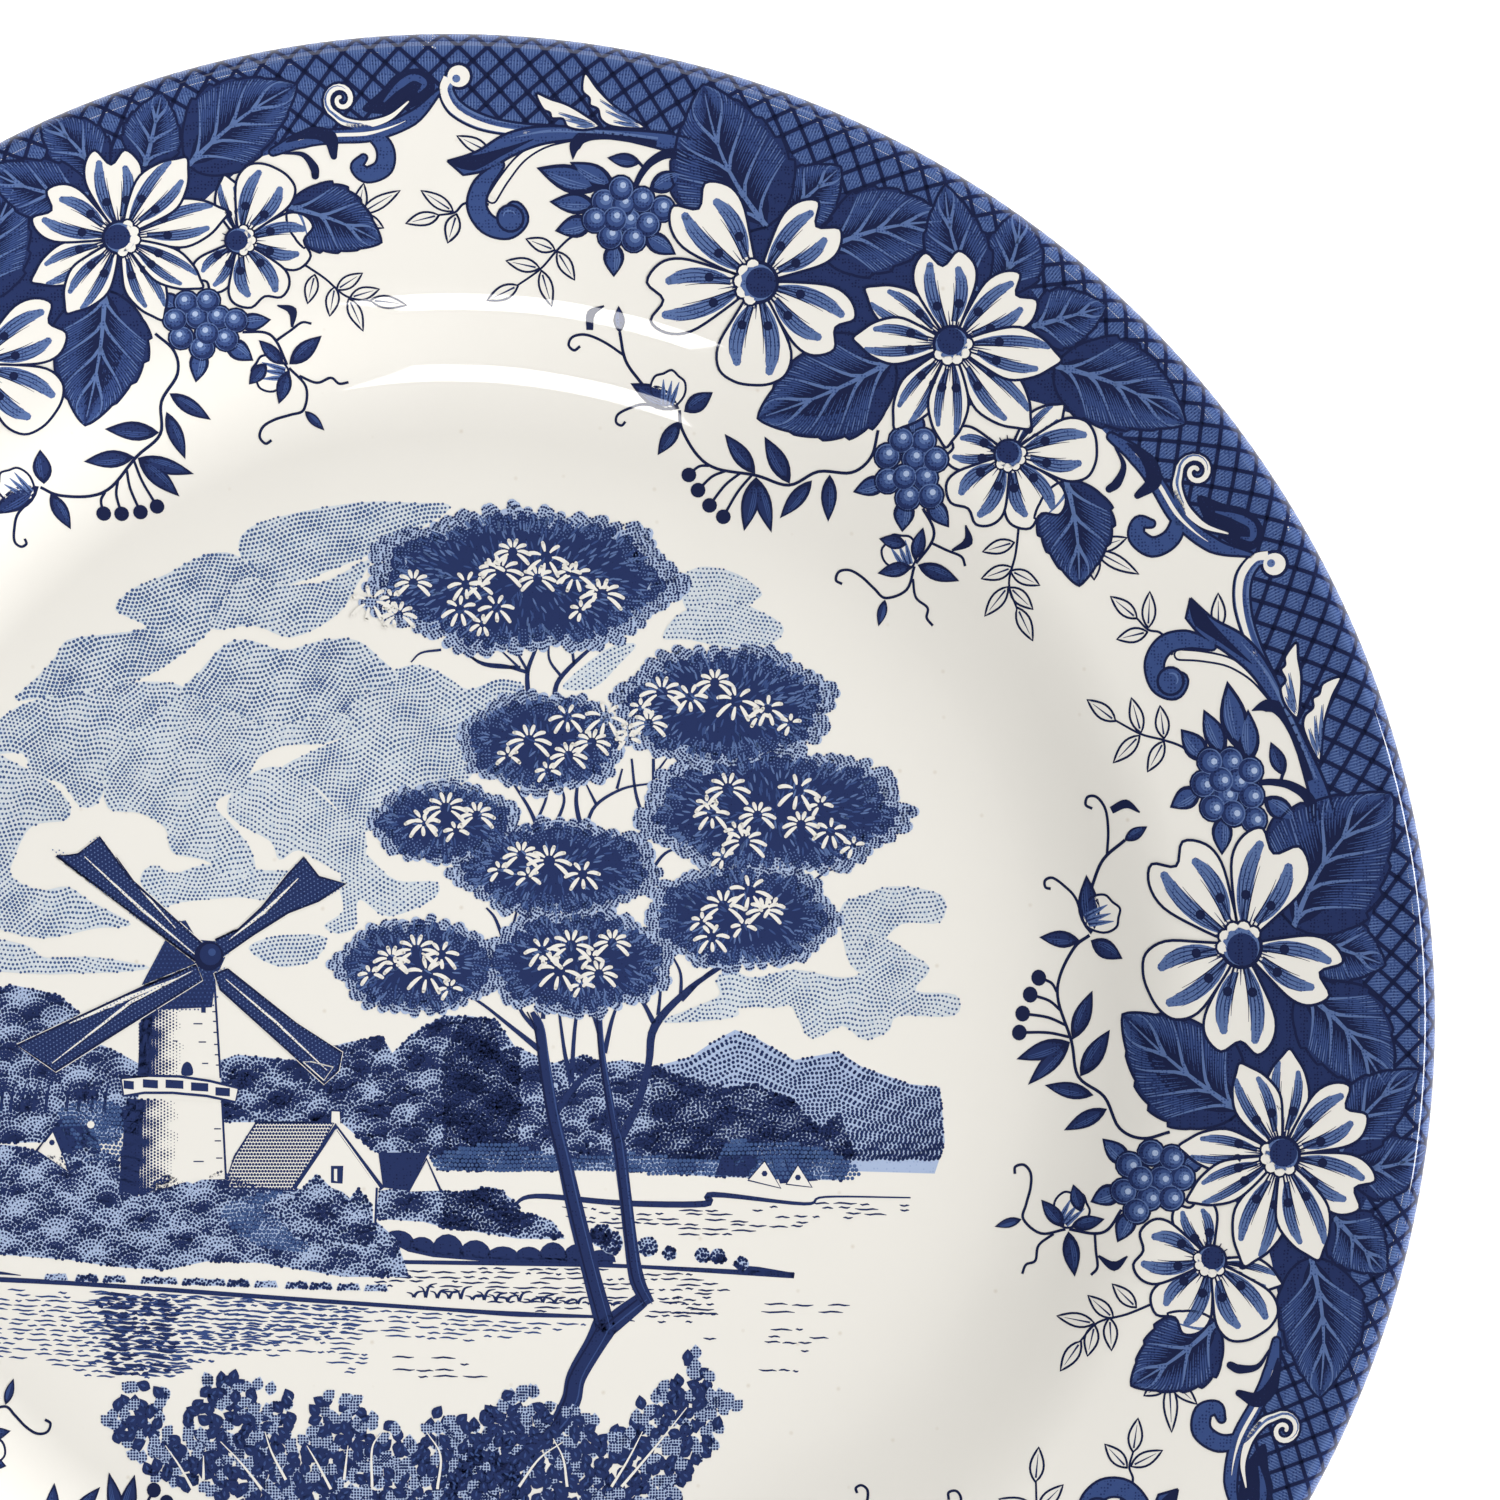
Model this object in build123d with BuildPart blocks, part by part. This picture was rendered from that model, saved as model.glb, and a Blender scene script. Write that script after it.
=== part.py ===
"""China dinner plate: a fired clay body with a foot ring, two printed transfers and a clear glaze.

Frame: millimetres, +Z up, origin on the plate's axis, at the plane that the foot ring stands on.
The clay and the glaze are turned about Z. The transfers lie on the clay's face and the glaze flows
over both, so the glaze is as thick as its coat less the transfer under it.
"""

from build123d import *
from math import cos, radians, sin
import os

# Driving dimensions, in millimetres and degrees
plate_diameter = 254.0  # over the glaze
clay_thickness = 4.0
well_radius = 76.0  # flat floor, out to where the shoulder starts to rise
shoulder_radius = 20.0  # of both bends in the clay's face
shoulder_slope = 32.0
shoulder_run = 4.0  # straight stretch between the bends, measured outwards
rim_slope = 13.0
foot_height = 3.0  # gap under the floor
foot_inset = 2.5  # middle of the foot ring, in from the well's edge
foot_width = 5.0  # of the foot ring at its root
foot_root = 1.0  # overlap of its section with the dish that it is one piece with
tread_width = 3.0  # at its underside, with the rounded corners
tread_fillet = 0.5
glaze_thickness = 0.3
wiped_height = 0.7  # of the foot ring, left without glaze
transfer_thickness = 0.1
centre_margin = 8.0  # between the centre transfer and the well's edge
border_margin = 1.5  # between the border transfer and the rounded edge
border_repeats = 6
cusp_margin = 7.0  # from the plate's outer edge in to the cusps of the border's inner edge
lobe_depth = 22.0  # of each lobe, in from the straight line between its two cusps
first_cusp_angle = 31.0  # about +Z, from +X

# Worked out from them
plate_radius = plate_diameter / 2
floor_top = foot_height + clay_thickness
foot_radius = well_radius - foot_inset
edge_radius = clay_thickness / 2
upright = 90.0
shoulder_normal = upright + shoulder_slope
rim_normal = upright + rim_slope


def away(centre, distance, angle):
    """The point at a distance from a centre, at an angle above +X."""
    return (centre[0] + distance * cos(radians(angle)), centre[1] + distance * sin(radians(angle)))


# Centres of the two bends and of the rounded edge, in the half section
lower_bend = (well_radius, floor_top + shoulder_radius)
slope_start = away(lower_bend, -shoulder_radius, shoulder_normal)
slope_end = away(slope_start, shoulder_run / cos(radians(shoulder_slope)), shoulder_slope)
upper_bend = away(slope_end, -shoulder_radius, shoulder_normal)
edge_distance = plate_radius - glaze_thickness - edge_radius
mid_rim = away(upper_bend, shoulder_radius - edge_radius, rim_normal)
edge_centre = away(mid_rim, (edge_distance - mid_rim[0]) / cos(radians(rim_slope)), rim_slope)


def rim_start(offset):
    """Where the straight rim leaves the upper bend, at an offset above the clay's face."""
    return away(upper_bend, shoulder_radius + offset, rim_normal)


def rim_end(offset):
    """Where the straight rim meets the rounded edge, at an offset above the clay's face."""
    return away(edge_centre, edge_radius + offset, rim_normal)


def draw_shoulder(offset):
    """Both bends and the slope between them, at an offset above the clay's face."""
    inner = shoulder_radius - offset
    outer = shoulder_radius + offset
    CenterArc(lower_bend, inner, -upright, shoulder_slope)
    Line(away(lower_bend, -inner, shoulder_normal), away(upper_bend, outer, shoulder_normal))
    CenterArc(upper_bend, outer, shoulder_normal, rim_slope - shoulder_slope)


# The dish's half section
with BuildSketch(Plane.XZ) as dish_section:
    with BuildLine():
        Line((0, floor_top), (well_radius, floor_top))
        draw_shoulder(0)
        Line(rim_start(0), rim_end(0))
        CenterArc(edge_centre, edge_radius, rim_normal, -180)
        Line(rim_end(-clay_thickness), rim_start(-clay_thickness))
        draw_shoulder(-clay_thickness)
        Line((well_radius, foot_height), (0, foot_height))
        Line((0, foot_height), (0, floor_top))
    make_face()

# The foot ring's section, tapering down to its tread
with BuildSketch(Plane.XZ) as foot_section:
    with BuildLine():
        Polyline(
            (foot_radius - foot_width / 2, foot_height),
            (foot_radius - tread_width / 2, 0),
            (foot_radius + tread_width / 2, 0),
            (foot_radius + foot_width / 2, foot_height),
            (foot_radius + foot_width / 2, foot_height + foot_root),
            (foot_radius - foot_width / 2, foot_height + foot_root),
            close=True,
        )
    make_face()
    fillet(foot_section.vertices().group_by(Axis.Y)[0], tread_fillet)

# Clay: dish and foot ring in one piece
with BuildSketch(Plane.XZ) as clay_section:
    add(dish_section.sketch)
    add(foot_section.sketch)
with BuildPart() as clay_body:
    add(clay_section.sketch)
    revolve(axis=Axis.Z)
clay_body.part.label = "clay_body"

# Centre transfer: a round print on the floor of the well
with BuildPart() as centre_transfer:
    with BuildSketch(Plane.XY.offset(floor_top)):
        Circle(well_radius - centre_margin)
    extrude(amount=transfer_thickness)
centre_transfer.part.label = "centre_transfer"

# Border transfer: a print over the shoulder and the rim, whose inner edge is lobes that meet in cusps
border_end = away(rim_end(0), -border_margin, rim_slope)
border_end_top = away(border_end, transfer_thickness, rim_normal)
repeat_angle = 360 / border_repeats
cusp_radius = plate_radius - cusp_margin
lobe_radius = cusp_radius * cos(radians(repeat_angle / 2)) - lobe_depth
with BuildPart() as border_transfer:
    with BuildSketch(Plane.XZ):
        with BuildLine():
            draw_shoulder(0)
            Line(rim_start(0), border_end)
            Line(border_end, border_end_top)
            Line(border_end_top, rim_start(transfer_thickness))
            draw_shoulder(transfer_thickness)
            Line((well_radius, floor_top + transfer_thickness), (well_radius, floor_top))
        make_face()
    revolve(axis=Axis.Z)
    with BuildSketch():
        with BuildLine():
            for repeat in range(border_repeats):
                cusp_angle = first_cusp_angle + repeat * repeat_angle
                ThreePointArc(
                    away((0, 0), cusp_radius, cusp_angle),
                    away((0, 0), lobe_radius, cusp_angle + repeat_angle / 2),
                    away((0, 0), cusp_radius, cusp_angle + repeat_angle),
                )
        make_face()
    extrude(amount=plate_radius, mode=Mode.SUBTRACT)
border_transfer.part.label = "border_transfer"

# Glaze: a coat all over the clay, wiped off the bottom of the foot ring, which parts it in two
with BuildSketch(Plane.XZ) as glaze_section:
    add(clay_section.sketch)
    offset(amount=glaze_thickness, kind=Kind.ARC)
    add(clay_section.sketch, mode=Mode.SUBTRACT)
    Rectangle(2 * plate_diameter, 2 * wiped_height, mode=Mode.SUBTRACT)
    Rectangle(plate_diameter, plate_diameter, align=(Align.MAX, Align.CENTER), mode=Mode.SUBTRACT)
coats = glaze_section.sketch.faces().sort_by(Axis.X)

with BuildPart() as recess_glaze:
    add(coats[0])
    revolve(axis=Axis.Z)
recess_glaze.part.label = "recess_glaze"

with BuildPart() as outer_glaze:
    add(coats[-1])
    revolve(axis=Axis.Z)
    add(centre_transfer.part, mode=Mode.SUBTRACT)
    add(border_transfer.part, mode=Mode.SUBTRACT)
outer_glaze.part.label = "outer_glaze"

os.makedirs("parts", exist_ok=True)
export_step(clay_body.part, "parts/clay_body.step")
export_step(centre_transfer.part, "parts/centre_transfer.step")
export_step(border_transfer.part, "parts/border_transfer.step")
export_step(recess_glaze.part, "parts/recess_glaze.step")
export_step(outer_glaze.part, "parts/outer_glaze.step")
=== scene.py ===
"""The looks of the china dinner plate: a white glazed plate with a blue transfer print.

The print is drawn in millimetres on the plate's plan, as complex numbers x + iy with the picture upright,
and every shape is cut into triangles and laid on the glazed face. Shapes drawn over others lie on a higher
level, a few thousandths of a millimetre up, all of them inside the glaze's thickness.
"""

from math import cos, pi, radians, sin

import bpy
import numpy as np
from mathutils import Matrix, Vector
from mathutils.geometry import tessellate_polygon


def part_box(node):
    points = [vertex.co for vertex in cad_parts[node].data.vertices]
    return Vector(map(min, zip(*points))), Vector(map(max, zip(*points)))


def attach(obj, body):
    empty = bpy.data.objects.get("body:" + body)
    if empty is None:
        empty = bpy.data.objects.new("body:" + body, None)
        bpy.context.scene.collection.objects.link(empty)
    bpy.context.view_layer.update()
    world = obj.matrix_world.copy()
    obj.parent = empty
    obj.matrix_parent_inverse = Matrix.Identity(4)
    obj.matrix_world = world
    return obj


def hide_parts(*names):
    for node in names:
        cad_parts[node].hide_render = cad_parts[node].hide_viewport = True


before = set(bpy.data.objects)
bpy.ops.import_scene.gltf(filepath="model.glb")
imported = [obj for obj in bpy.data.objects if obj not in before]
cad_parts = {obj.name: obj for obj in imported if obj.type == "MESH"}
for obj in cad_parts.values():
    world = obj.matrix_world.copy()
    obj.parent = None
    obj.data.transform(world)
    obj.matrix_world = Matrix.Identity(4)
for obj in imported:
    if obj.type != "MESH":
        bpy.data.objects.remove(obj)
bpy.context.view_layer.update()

# ---------------------------------------------------------------- sizes, in millimetres and degrees
MM = 0.001
PLATE_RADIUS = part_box("outer_glaze")[1].x / MM
FLOOR_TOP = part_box("centre_transfer")[0].z / MM
CLAY = 4.0
GLAZE = 0.3
WELL_RADIUS = 76.0
SHOULDER_RADIUS = 20.0
SHOULDER_SLOPE = 32.0
SHOULDER_RUN = 4.0
RIM_SLOPE = 13.0
FOOT_RADIUS = 73.5
FOOT_WIDTH = 5.0
TREAD_WIDTH = 3.0
WIPED_HEIGHT = 0.7
PRINT_DEPTH = 0.15  # of the white ground under the glaze's surface
GROUND = GLAZE - PRINT_DEPTH  # the white ground's height over the clay
SHOULDER_END = WELL_RADIUS + 22  # a little past the upper bend
SEGMENTS = 360  # of the turned surfaces
LEVEL_STEP = 0.006  # between two levels of the print
REPEATS = 6
CUSP_ANGLE = 90.9  # where the first repeat of the border starts; it runs clockwise
REPEAT_ANGLE = 360 / REPEATS


# ---------------------------------------------------------------- points and paths
def polar(radius, angle):
    """The point at a radius and an angle from +X."""
    return radius * np.exp(1j * np.radians(angle))


def pts(text):
    """Points written as x+yj, in millimetres."""
    return np.array([complex(word) for word in text.split()])


def smooth(points, closed=False, steps=6):
    """A smooth line through a few points."""
    p = np.asarray(points, complex)
    if closed:
        p = np.concatenate([p[-1:], p, p[:2]])
    else:
        p = np.concatenate([[2 * p[0] - p[1]], p, [2 * p[-1] - p[-2]]])
    a, b, c, d = (p[i : len(p) - 3 + i, None] for i in range(4))
    t = np.arange(steps) / steps
    line = b + ((c - a) * t + (2 * a - 5 * b + 4 * c - d) * t**2 + (3 * b - a - 3 * c + d) * t**3) / 2
    line = line.ravel()
    return line if closed else np.append(line, points[-1])


def between(values, n):
    """n values that run evenly through a few given ones."""
    values = np.atleast_1d(values)
    return np.interp(np.linspace(0, 1, n), np.linspace(0, 1, len(values)), values)


def spiral(centre, start, end, first, turns):
    """A spiral about a centre from one radius to another, starting at an angle, over a number of turns."""
    t = np.linspace(0, 1, 24)
    return centre + polar(start + (end - start) * t, first + 360 * turns * t)


def inside(points, outline):
    """Which points lie inside an outline."""
    x, y = points.real[:, None], points.imag[:, None]
    a, b = outline[None, :], np.roll(outline, -1)[None, :]
    crosses = (a.imag > y) != (b.imag > y)
    rise = np.where(crosses, b.imag - a.imag, 1.0)
    left = x < a.real + (y - a.imag) * (b.real - a.real) / rise
    return (crosses & left).sum(1) % 2 == 1


# ---------------------------------------------------------------- the print
class Print:
    """Triangles of the print, by tone, each with its level."""

    def __init__(self):
        self.triangles = {}

    def add(self, tone, triangles, level):
        self.triangles.setdefault(tone, []).append((triangles, level))

    def fill(self, tone, outline, level):
        """A flat shape."""
        corners = [Vector((p.real, p.imag, 0)) for p in outline]
        picks = np.array(tessellate_polygon([corners]))
        if len(picks):
            self.add(tone, np.asarray(outline)[picks], level)

    def stroke(self, tone, path, width, level):
        """A line whose full width runs through the given widths."""
        path = np.asarray(path)
        along = np.gradient(path)
        along = along / np.maximum(np.abs(along), 1e-9)
        side = 1j * along * between(width, len(path)) / 2
        left, right = path + side, path - side
        quads = np.stack([left[:-1], right[:-1], right[1:], left[1:]], 1)
        self.add(tone, np.concatenate([quads[:, [0, 1, 2]], quads[:, [0, 2, 3]]]), level)

    def dots(self, tone, centres, radius, level, sides=7):
        """Round dots, each of its own radius."""
        centres = np.atleast_1d(centres)
        radius = np.broadcast_to(radius, centres.shape)
        rim = polar(1.0, np.arange(sides) * 360 / sides)
        ring = centres[:, None] + radius[:, None] * rim
        fan = np.stack([np.stack([ring[:, 0], ring[:, i], ring[:, i + 1]], 1) for i in range(1, sides - 1)])
        self.add(tone, fan.reshape(-1, 3), level)

    def edge(self, tone, outline, width, level):
        """A line all round an outline."""
        closed = np.append(outline, outline[:2])
        self.stroke(tone, closed, width, level)

    def band(self, tone, path, width, level, line=0.32):
        """A stroke with a dark line down both sides."""
        path = np.asarray(path)
        width = between(width, len(path))
        self.stroke("deep", path, width + 2 * line, level)
        self.dots("deep", path[[0, -1]], width[[0, -1]] / 2 + line, level, 12)
        self.stroke(tone, path, width, level + 1)
        self.dots(tone, path[[0, -1]], width[[0, -1]] / 2, level + 1, 12)

    def turned(self, times):
        """The same print turned about the plate's centre a number of times, evenly."""
        turns = polar(1.0, -360 / times * np.arange(times))
        return self.moved(lambda points: (points[None] * turns[:, None, None]).reshape(-1, 3))

    def moved(self, move):
        """The same print with its points moved."""
        copy = Print()
        for tone, batches in self.triangles.items():
            for triangles, level in batches:
                copy.add(tone, move(triangles), level)
        return copy


# ---------------------------------------------------------------- motifs
def almond(base, tip, width, bend=0.0, steps=9):
    """A pointed oval from base to tip."""
    t = np.linspace(0, 1, steps)
    half = width / 2 * np.sin(pi * t**0.85)
    axis = tip - base
    across = 1j * axis / abs(axis)
    spine = base + axis * t + across * bend * np.sin(pi * t)
    return np.concatenate([spine + across * half, (spine - across * half)[-2:0:-1]])


def outline_leaf(sheet, base, tip, width, level):
    """A small leaf drawn in outline, with a shaded stroke along its middle."""
    shape = almond(base, tip, width)
    sheet.edge("deep", shape, 0.28, level + 1)
    t = np.linspace(0.12, 0.8, 5)
    sheet.stroke("dark", base + (tip - base) * t, [0.26, 0.16, 0.05], level)


def solid_leaf(sheet, base, tip, width, level, tone="dark"):
    """A small dark leaf with fine lighter lines on one side."""
    sheet.fill("deep", almond(base, tip, width), level)
    inner = almond(base + 0.14 * (tip - base), base + 0.9 * (tip - base), width * 0.7)
    sheet.fill(tone, inner, level + 1)
    t = np.linspace(0.2, 0.8, 5)
    across = 1j * (tip - base) / abs(tip - base)
    for lane in (0.05, 0.16, 0.27):
        line = base + (tip - base) * t + across * width * lane * np.sin(pi * t)
        sheet.stroke("light" if tone == "mid" else "mid", line, [0.05, 0.16, 0.05], level + 2)


def veined_leaf(sheet, base, tip, width, level, bend=0.0, veins=4):
    """A large toothed leaf with light veins and fine lines between them."""
    axis = tip - base
    length = abs(axis)
    across = 1j * axis / length

    def half(t):
        return width / 2 * np.sin(pi * np.clip(t, 0, 1) ** 0.72) ** 0.8

    def spot(t, share):
        """A point at t along the leaf, and at a share of the way from midrib to margin."""
        t = np.asarray(t, float)
        return base + axis * t + across * (bend * np.sin(pi * t) + share * half(t))

    teeth = 6
    t = np.linspace(0, 1, 8 * teeth + 1)
    tooth = 1.0 + 0.10 * ((t * teeth) % 1.0) * (t > 0.2)
    margin = np.concatenate([spot(t, tooth), spot(t, -tooth)[-2:0:-1]])
    sheet.fill("dark", margin, level)
    sheet.edge("deep", margin, 0.34, level + 2)
    sheet.fill("deep", almond(base, base + axis * 0.9, width * 0.5, bend), level + 0.5)
    starts = np.linspace(0.04, 0.62, veins)
    gap = starts[1] - starts[0]
    for side in (1, -1):
        for start in starts:
            s = np.linspace(0, 1, 8)
            reach = start + 0.3 * s**0.7
            sheet.stroke("light", spot(reach, side * 0.9 * s), [0.46, 0.36, 0.22, 0.08], level + 2)
            for n, fraction in enumerate(np.linspace(0.1, 0.93, 9)):
                shade = np.linspace(0.14 + 0.2 * abs(fraction - 0.5) + 0.1 * (n % 2), 0.95, 6)
                reach = start + gap * fraction + 0.3 * shade**0.7
                sheet.stroke("mid", spot(np.minimum(reach, 0.99), side * shade), [0.05, 0.17, 0.2, 0.12],
                    level + 1)
                if n % 2:
                    sheet.stroke("light", spot(np.minimum(reach[3:], 0.99), side * shade[3:]),
                        [0.05, 0.15, 0.1], level + 1.5)
    sheet.stroke("light", spot(np.linspace(0, 0.94, 12), 0), [0.7, 0.42, 0.12], level + 2)


def petal(sheet, centre, angle, length, width, notch, level):
    """A white petal with shaded bands, a pair of stamens and a tip that is pointed, blunt or notched."""
    turn = polar(1.0, angle)
    w = width / 2

    def spot(along, side):
        return centre + turn * (np.asarray(along) * length + 1j * np.asarray(side) * w)

    if notch > 0:
        along = [0.1, 0.36, 0.66, 0.88, 1.0, 1 - notch, 0.98, 0.84, 0.64, 0.36, 0.1]
        side = [0.16, 0.62, 1.0, 0.92, 0.52, 0.04, -0.5, -0.95, -0.98, -0.6, -0.16]
    elif notch < 0:
        along = [0.1, 0.36, 0.66, 0.88, 0.98, 1.0, 0.97, 0.86, 0.64, 0.36, 0.1]
        side = [0.16, 0.62, 1.0, 0.90, 0.50, 0.0, -0.5, -0.92, -0.98, -0.6, -0.16]
    else:
        along = [0.1, 0.34, 0.58, 0.8, 0.93, 1.0, 0.92, 0.78, 0.56, 0.34, 0.1]
        side = [0.18, 0.72, 1.0, 0.72, 0.30, 0.0, -0.34, -0.76, -1.0, -0.7, -0.18]
    shape = smooth(spot(along, side), closed=True, steps=4)
    sheet.fill("bare", shape, level)
    sheet.edge("deep", shape, 0.36, level + 2)
    t = np.linspace(0, 1, 9)
    bow = np.sin(pi * (0.1 + 0.55 * t))
    for way, start, end in ((1, 0.2, 0.86), (-1, 0.24, 0.78)):
        along = start + (end - start) * t
        sheet.stroke("light", spot(along, way * 0.50 * bow), np.array([0.16, 0.36, 0.42, 0.42, 0.36,
            0.22]) * w, level + 1)
        sheet.dots("light", spot(along[-1], way * 0.50 * bow[-1]), 0.12 * w, level + 1)
        for lane in (0.33, 0.45, 0.57, 0.68):
            sheet.stroke("dark", spot(along[:-1], way * lane * bow[:-1]), [0.05, 0.15, 0.14, 0.05], level + 2)
        sheet.stroke("deep", spot(along[:-2], way * 0.25 * bow[:-2]), [0.22, 0.16, 0.05], level + 2)
    for lane in (-0.7, -0.3, 0.0, 0.3, 0.7):
        sheet.stroke("dark", spot(0.14 + 0.22 * t, lane * (0.2 + 0.35 * t)), [0.3, 0.16, 0.04], level + 2)
    for way in (0.34, -0.36):
        stamen = spot(np.linspace(0.12, 0.42, 5), way * np.linspace(0.4, 1.0, 5))
        sheet.stroke("deep", stamen, 0.22, level + 2)
        sheet.dots("deep", stamen[-1], 0.62, level + 3, 10)


def hub(sheet, centre, radius, light_side, level):
    """A flower's round centre, dark on one side, with a white scalloped edge on the other."""
    edge_points = centre + polar(radius * 0.86, light_side + np.array([-70, -35, 0, 35, 70]))
    sheet.dots("deep", edge_points, radius * 0.42, level, 10)
    sheet.dots("deep", centre, radius * 1.08, level, 20)
    sheet.dots("bare", edge_points, radius * 0.30, level + 1, 10)
    sheet.dots("light", centre, radius * 0.9, level + 1, 20)
    offset = centre - polar(radius * 0.16, light_side)
    sheet.dots("dark", offset, radius * 0.76, level + 2, 18)
    for angle in range(0, 360, 24):
        ray = centre + polar(np.linspace(0.55, 1.3, 4) * radius, angle)
        sheet.stroke("deep", ray, [0.3, 0.12], level)


def flower(sheet, centre, petals, hub_radius, light_side, level):
    """Petals given as (angle, length, width, notch) about a hub, every second one over its neighbours."""
    for n, (angle, length, width, notch) in enumerate(petals):
        petal(sheet, centre, angle, length, width, notch, level + 3 * (n % 2))
    hub(sheet, centre, hub_radius, light_side, level + 6)


def berries(sheet, centres, radius, level):
    """A cluster of crowded round berries, each with a light rim and a lighter middle."""
    centres = np.asarray(centres)
    sheet.dots("deep", centres, radius * 1.22, level, 14)
    for i, centre in enumerate(centres):
        up = level + 1 + 3 * (i % 3)
        sheet.dots("light", centre, radius * 1.04, up, 18)
        sheet.dots("dark", centre - (0.03 + 0.05j) * radius, radius * 0.96, up + 1, 18)
        sheet.dots("mid", centre + (0.08 + 0.12j) * radius, radius * 0.8, up + 2, 16)
        sheet.dots("light", centre + (0.14 + 0.22j) * radius, radius * 0.52, up + 2.5, 12)
        sheet.dots("haze", centre + (0.18 + 0.3j) * radius, radius * 0.26, up + 3, 10)


def sprig(sheet, stem, leaves, level):
    """A thin stem with outline leaves given as (base, tip)."""
    sheet.stroke("deep", smooth(stem), [0.34, 0.26], level)
    for base, tip in leaves:
        outline_leaf(sheet, base, tip, 1.7, level)


def vine(sheet, points, width, level):
    """A thin smooth stem."""
    sheet.stroke("deep", smooth(points), width + 0.1, level)


# ---------------------------------------------------------------- the border, one repeat
INNER_EDGE = (  # of the lattice: angle from the cusp and radius
    (0, 119.6), (0.8, 118.0), (1.8, 116.6), (3.2, 115.3), (5.5, 114.6), (10, 115.4), (15, 116.0), (18, 113.0),
    (30, 113.0), (46, 113.0), (49.8, 113.3), (53.5, 114.2), (56.3, 114.0), (58.5, 115.3), (59.4, 117.5),
    (60, 119.6),
)
LATTICE_OUTER = PLATE_RADIUS + 1.5  # developed over the rounded edge
LATTICE_COLUMNS = 36  # of cells in a repeat
LATTICE_ROW = 1.78


def inner_edge(angle):
    """The lattice's inner radius, at an angle clockwise from the first cusp."""
    angles, radii = zip(*INNER_EDGE)
    return np.interp(np.mod(angle, REPEAT_ANGLE), angles, radii)


def around(radius, angle):
    """The point at a radius, and at an angle clockwise from the first cusp."""
    return polar(radius, CUSP_ANGLE - np.asarray(angle))


def lattice(sheet):
    """A net of crossing dark lines with lightly hatched cells, out to the plate's edge."""
    angles = np.linspace(0, REPEAT_ANGLE, 241)
    shares = np.linspace(0, 1, 12)[:, None]
    grid = around(inner_edge(angles) * (1 - shares) + LATTICE_OUTER * shares, angles)
    quads = np.stack([grid[:-1, :-1], grid[1:, :-1], grid[1:, 1:], grid[:-1, 1:]], -1).reshape(-1, 4)
    sheet.add("mid", np.concatenate([quads[:, [0, 1, 2]], quads[:, [0, 2, 3]]]), 0)
    cell = REPEAT_ANGLE / LATTICE_COLUMNS
    rows = np.arange(113.0, LATTICE_OUTER, 0.35)
    for column in range(LATTICE_COLUMNS):
        for way in (1, -1):
            angle = cell * (column + way * (LATTICE_OUTER - rows) / (2 * LATTICE_ROW))
            seen = rows > inner_edge(angle)
            if seen.sum() > 2:
                sheet.stroke("deep", around(rows[seen], angle[seen]), 0.5, 2)
        for row in range(9):
            radius = LATTICE_OUTER - LATTICE_ROW * row
            angle = cell * (column + (0.5 if row % 2 == 0 else 0.0))
            if radius - 1.2 > inner_edge(angle):
                sheet.dots("deep", around(radius, angle + cell / 2), 0.4, 2, 8)
                wide = 0.24 if row < 3 else 0.18
                for step in (-3, -2, -1, 0, 1, 2, 3):
                    half = 1.22 - 0.26 * abs(step)
                    turn = angle + np.degrees(step * 0.36 / radius)
                    line = around(radius + np.array([-half, 0, half]), turn)
                    sheet.stroke("light", line, [0.06, wide, 0.06], 1)


def foliage(sheet):
    """The dark ground behind the flowers, and the large leaves on it."""
    ground = smooth([
        30.5 + 111.3j, 34 + 116j, 43 + 112j, 48 + 107.5j, 55 + 104.5j, 62 + 102j, 68 + 99j, 73 + 96j,
        78 + 90j,
        85 + 86j, 90 + 80j, 87 + 75.5j, 80 + 78j, 72 + 80j, 62 + 78j, 56 + 81j, 50 + 84j, 44 + 88j, 40 + 94j,
        36 + 100j, 33 + 105j,
    ], closed=True)
    sheet.fill("dark", ground, 3)
    veined_leaf(sheet, 43 + 103j, 50.5 + 109.5j, 8.0, 3, veins=3)
    veined_leaf(sheet, 70 + 93j, 73.5 + 104j, 8.0, 3, bend=-1.0, veins=3)
    veined_leaf(sheet, 75 + 89j, 84.5 + 91.5j, 7.5, 3, veins=3)
    veined_leaf(sheet, 41 + 102j, 32.8 + 120.0j, 15.0, 5, bend=1.5, veins=4)
    veined_leaf(sheet, 48 + 99j, 65.0 + 102.5j, 10.5, 4, bend=1.0)
    veined_leaf(sheet, 68 + 93.5j, 63.8 + 107j, 8.0, 6, bend=1.0, veins=3)
    veined_leaf(sheet, 78 + 84j, 94.6 + 76.6j, 11.0, 5, bend=1.0)
    veined_leaf(sheet, 57.5 + 85j, 39.8 + 77.8j, 12.5, 5, bend=0.6, veins=4)
    veined_leaf(sheet, 79.5 + 69.5j, 81.3 + 56.2j, 9.5, 5, bend=0.5, veins=3)


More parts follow.
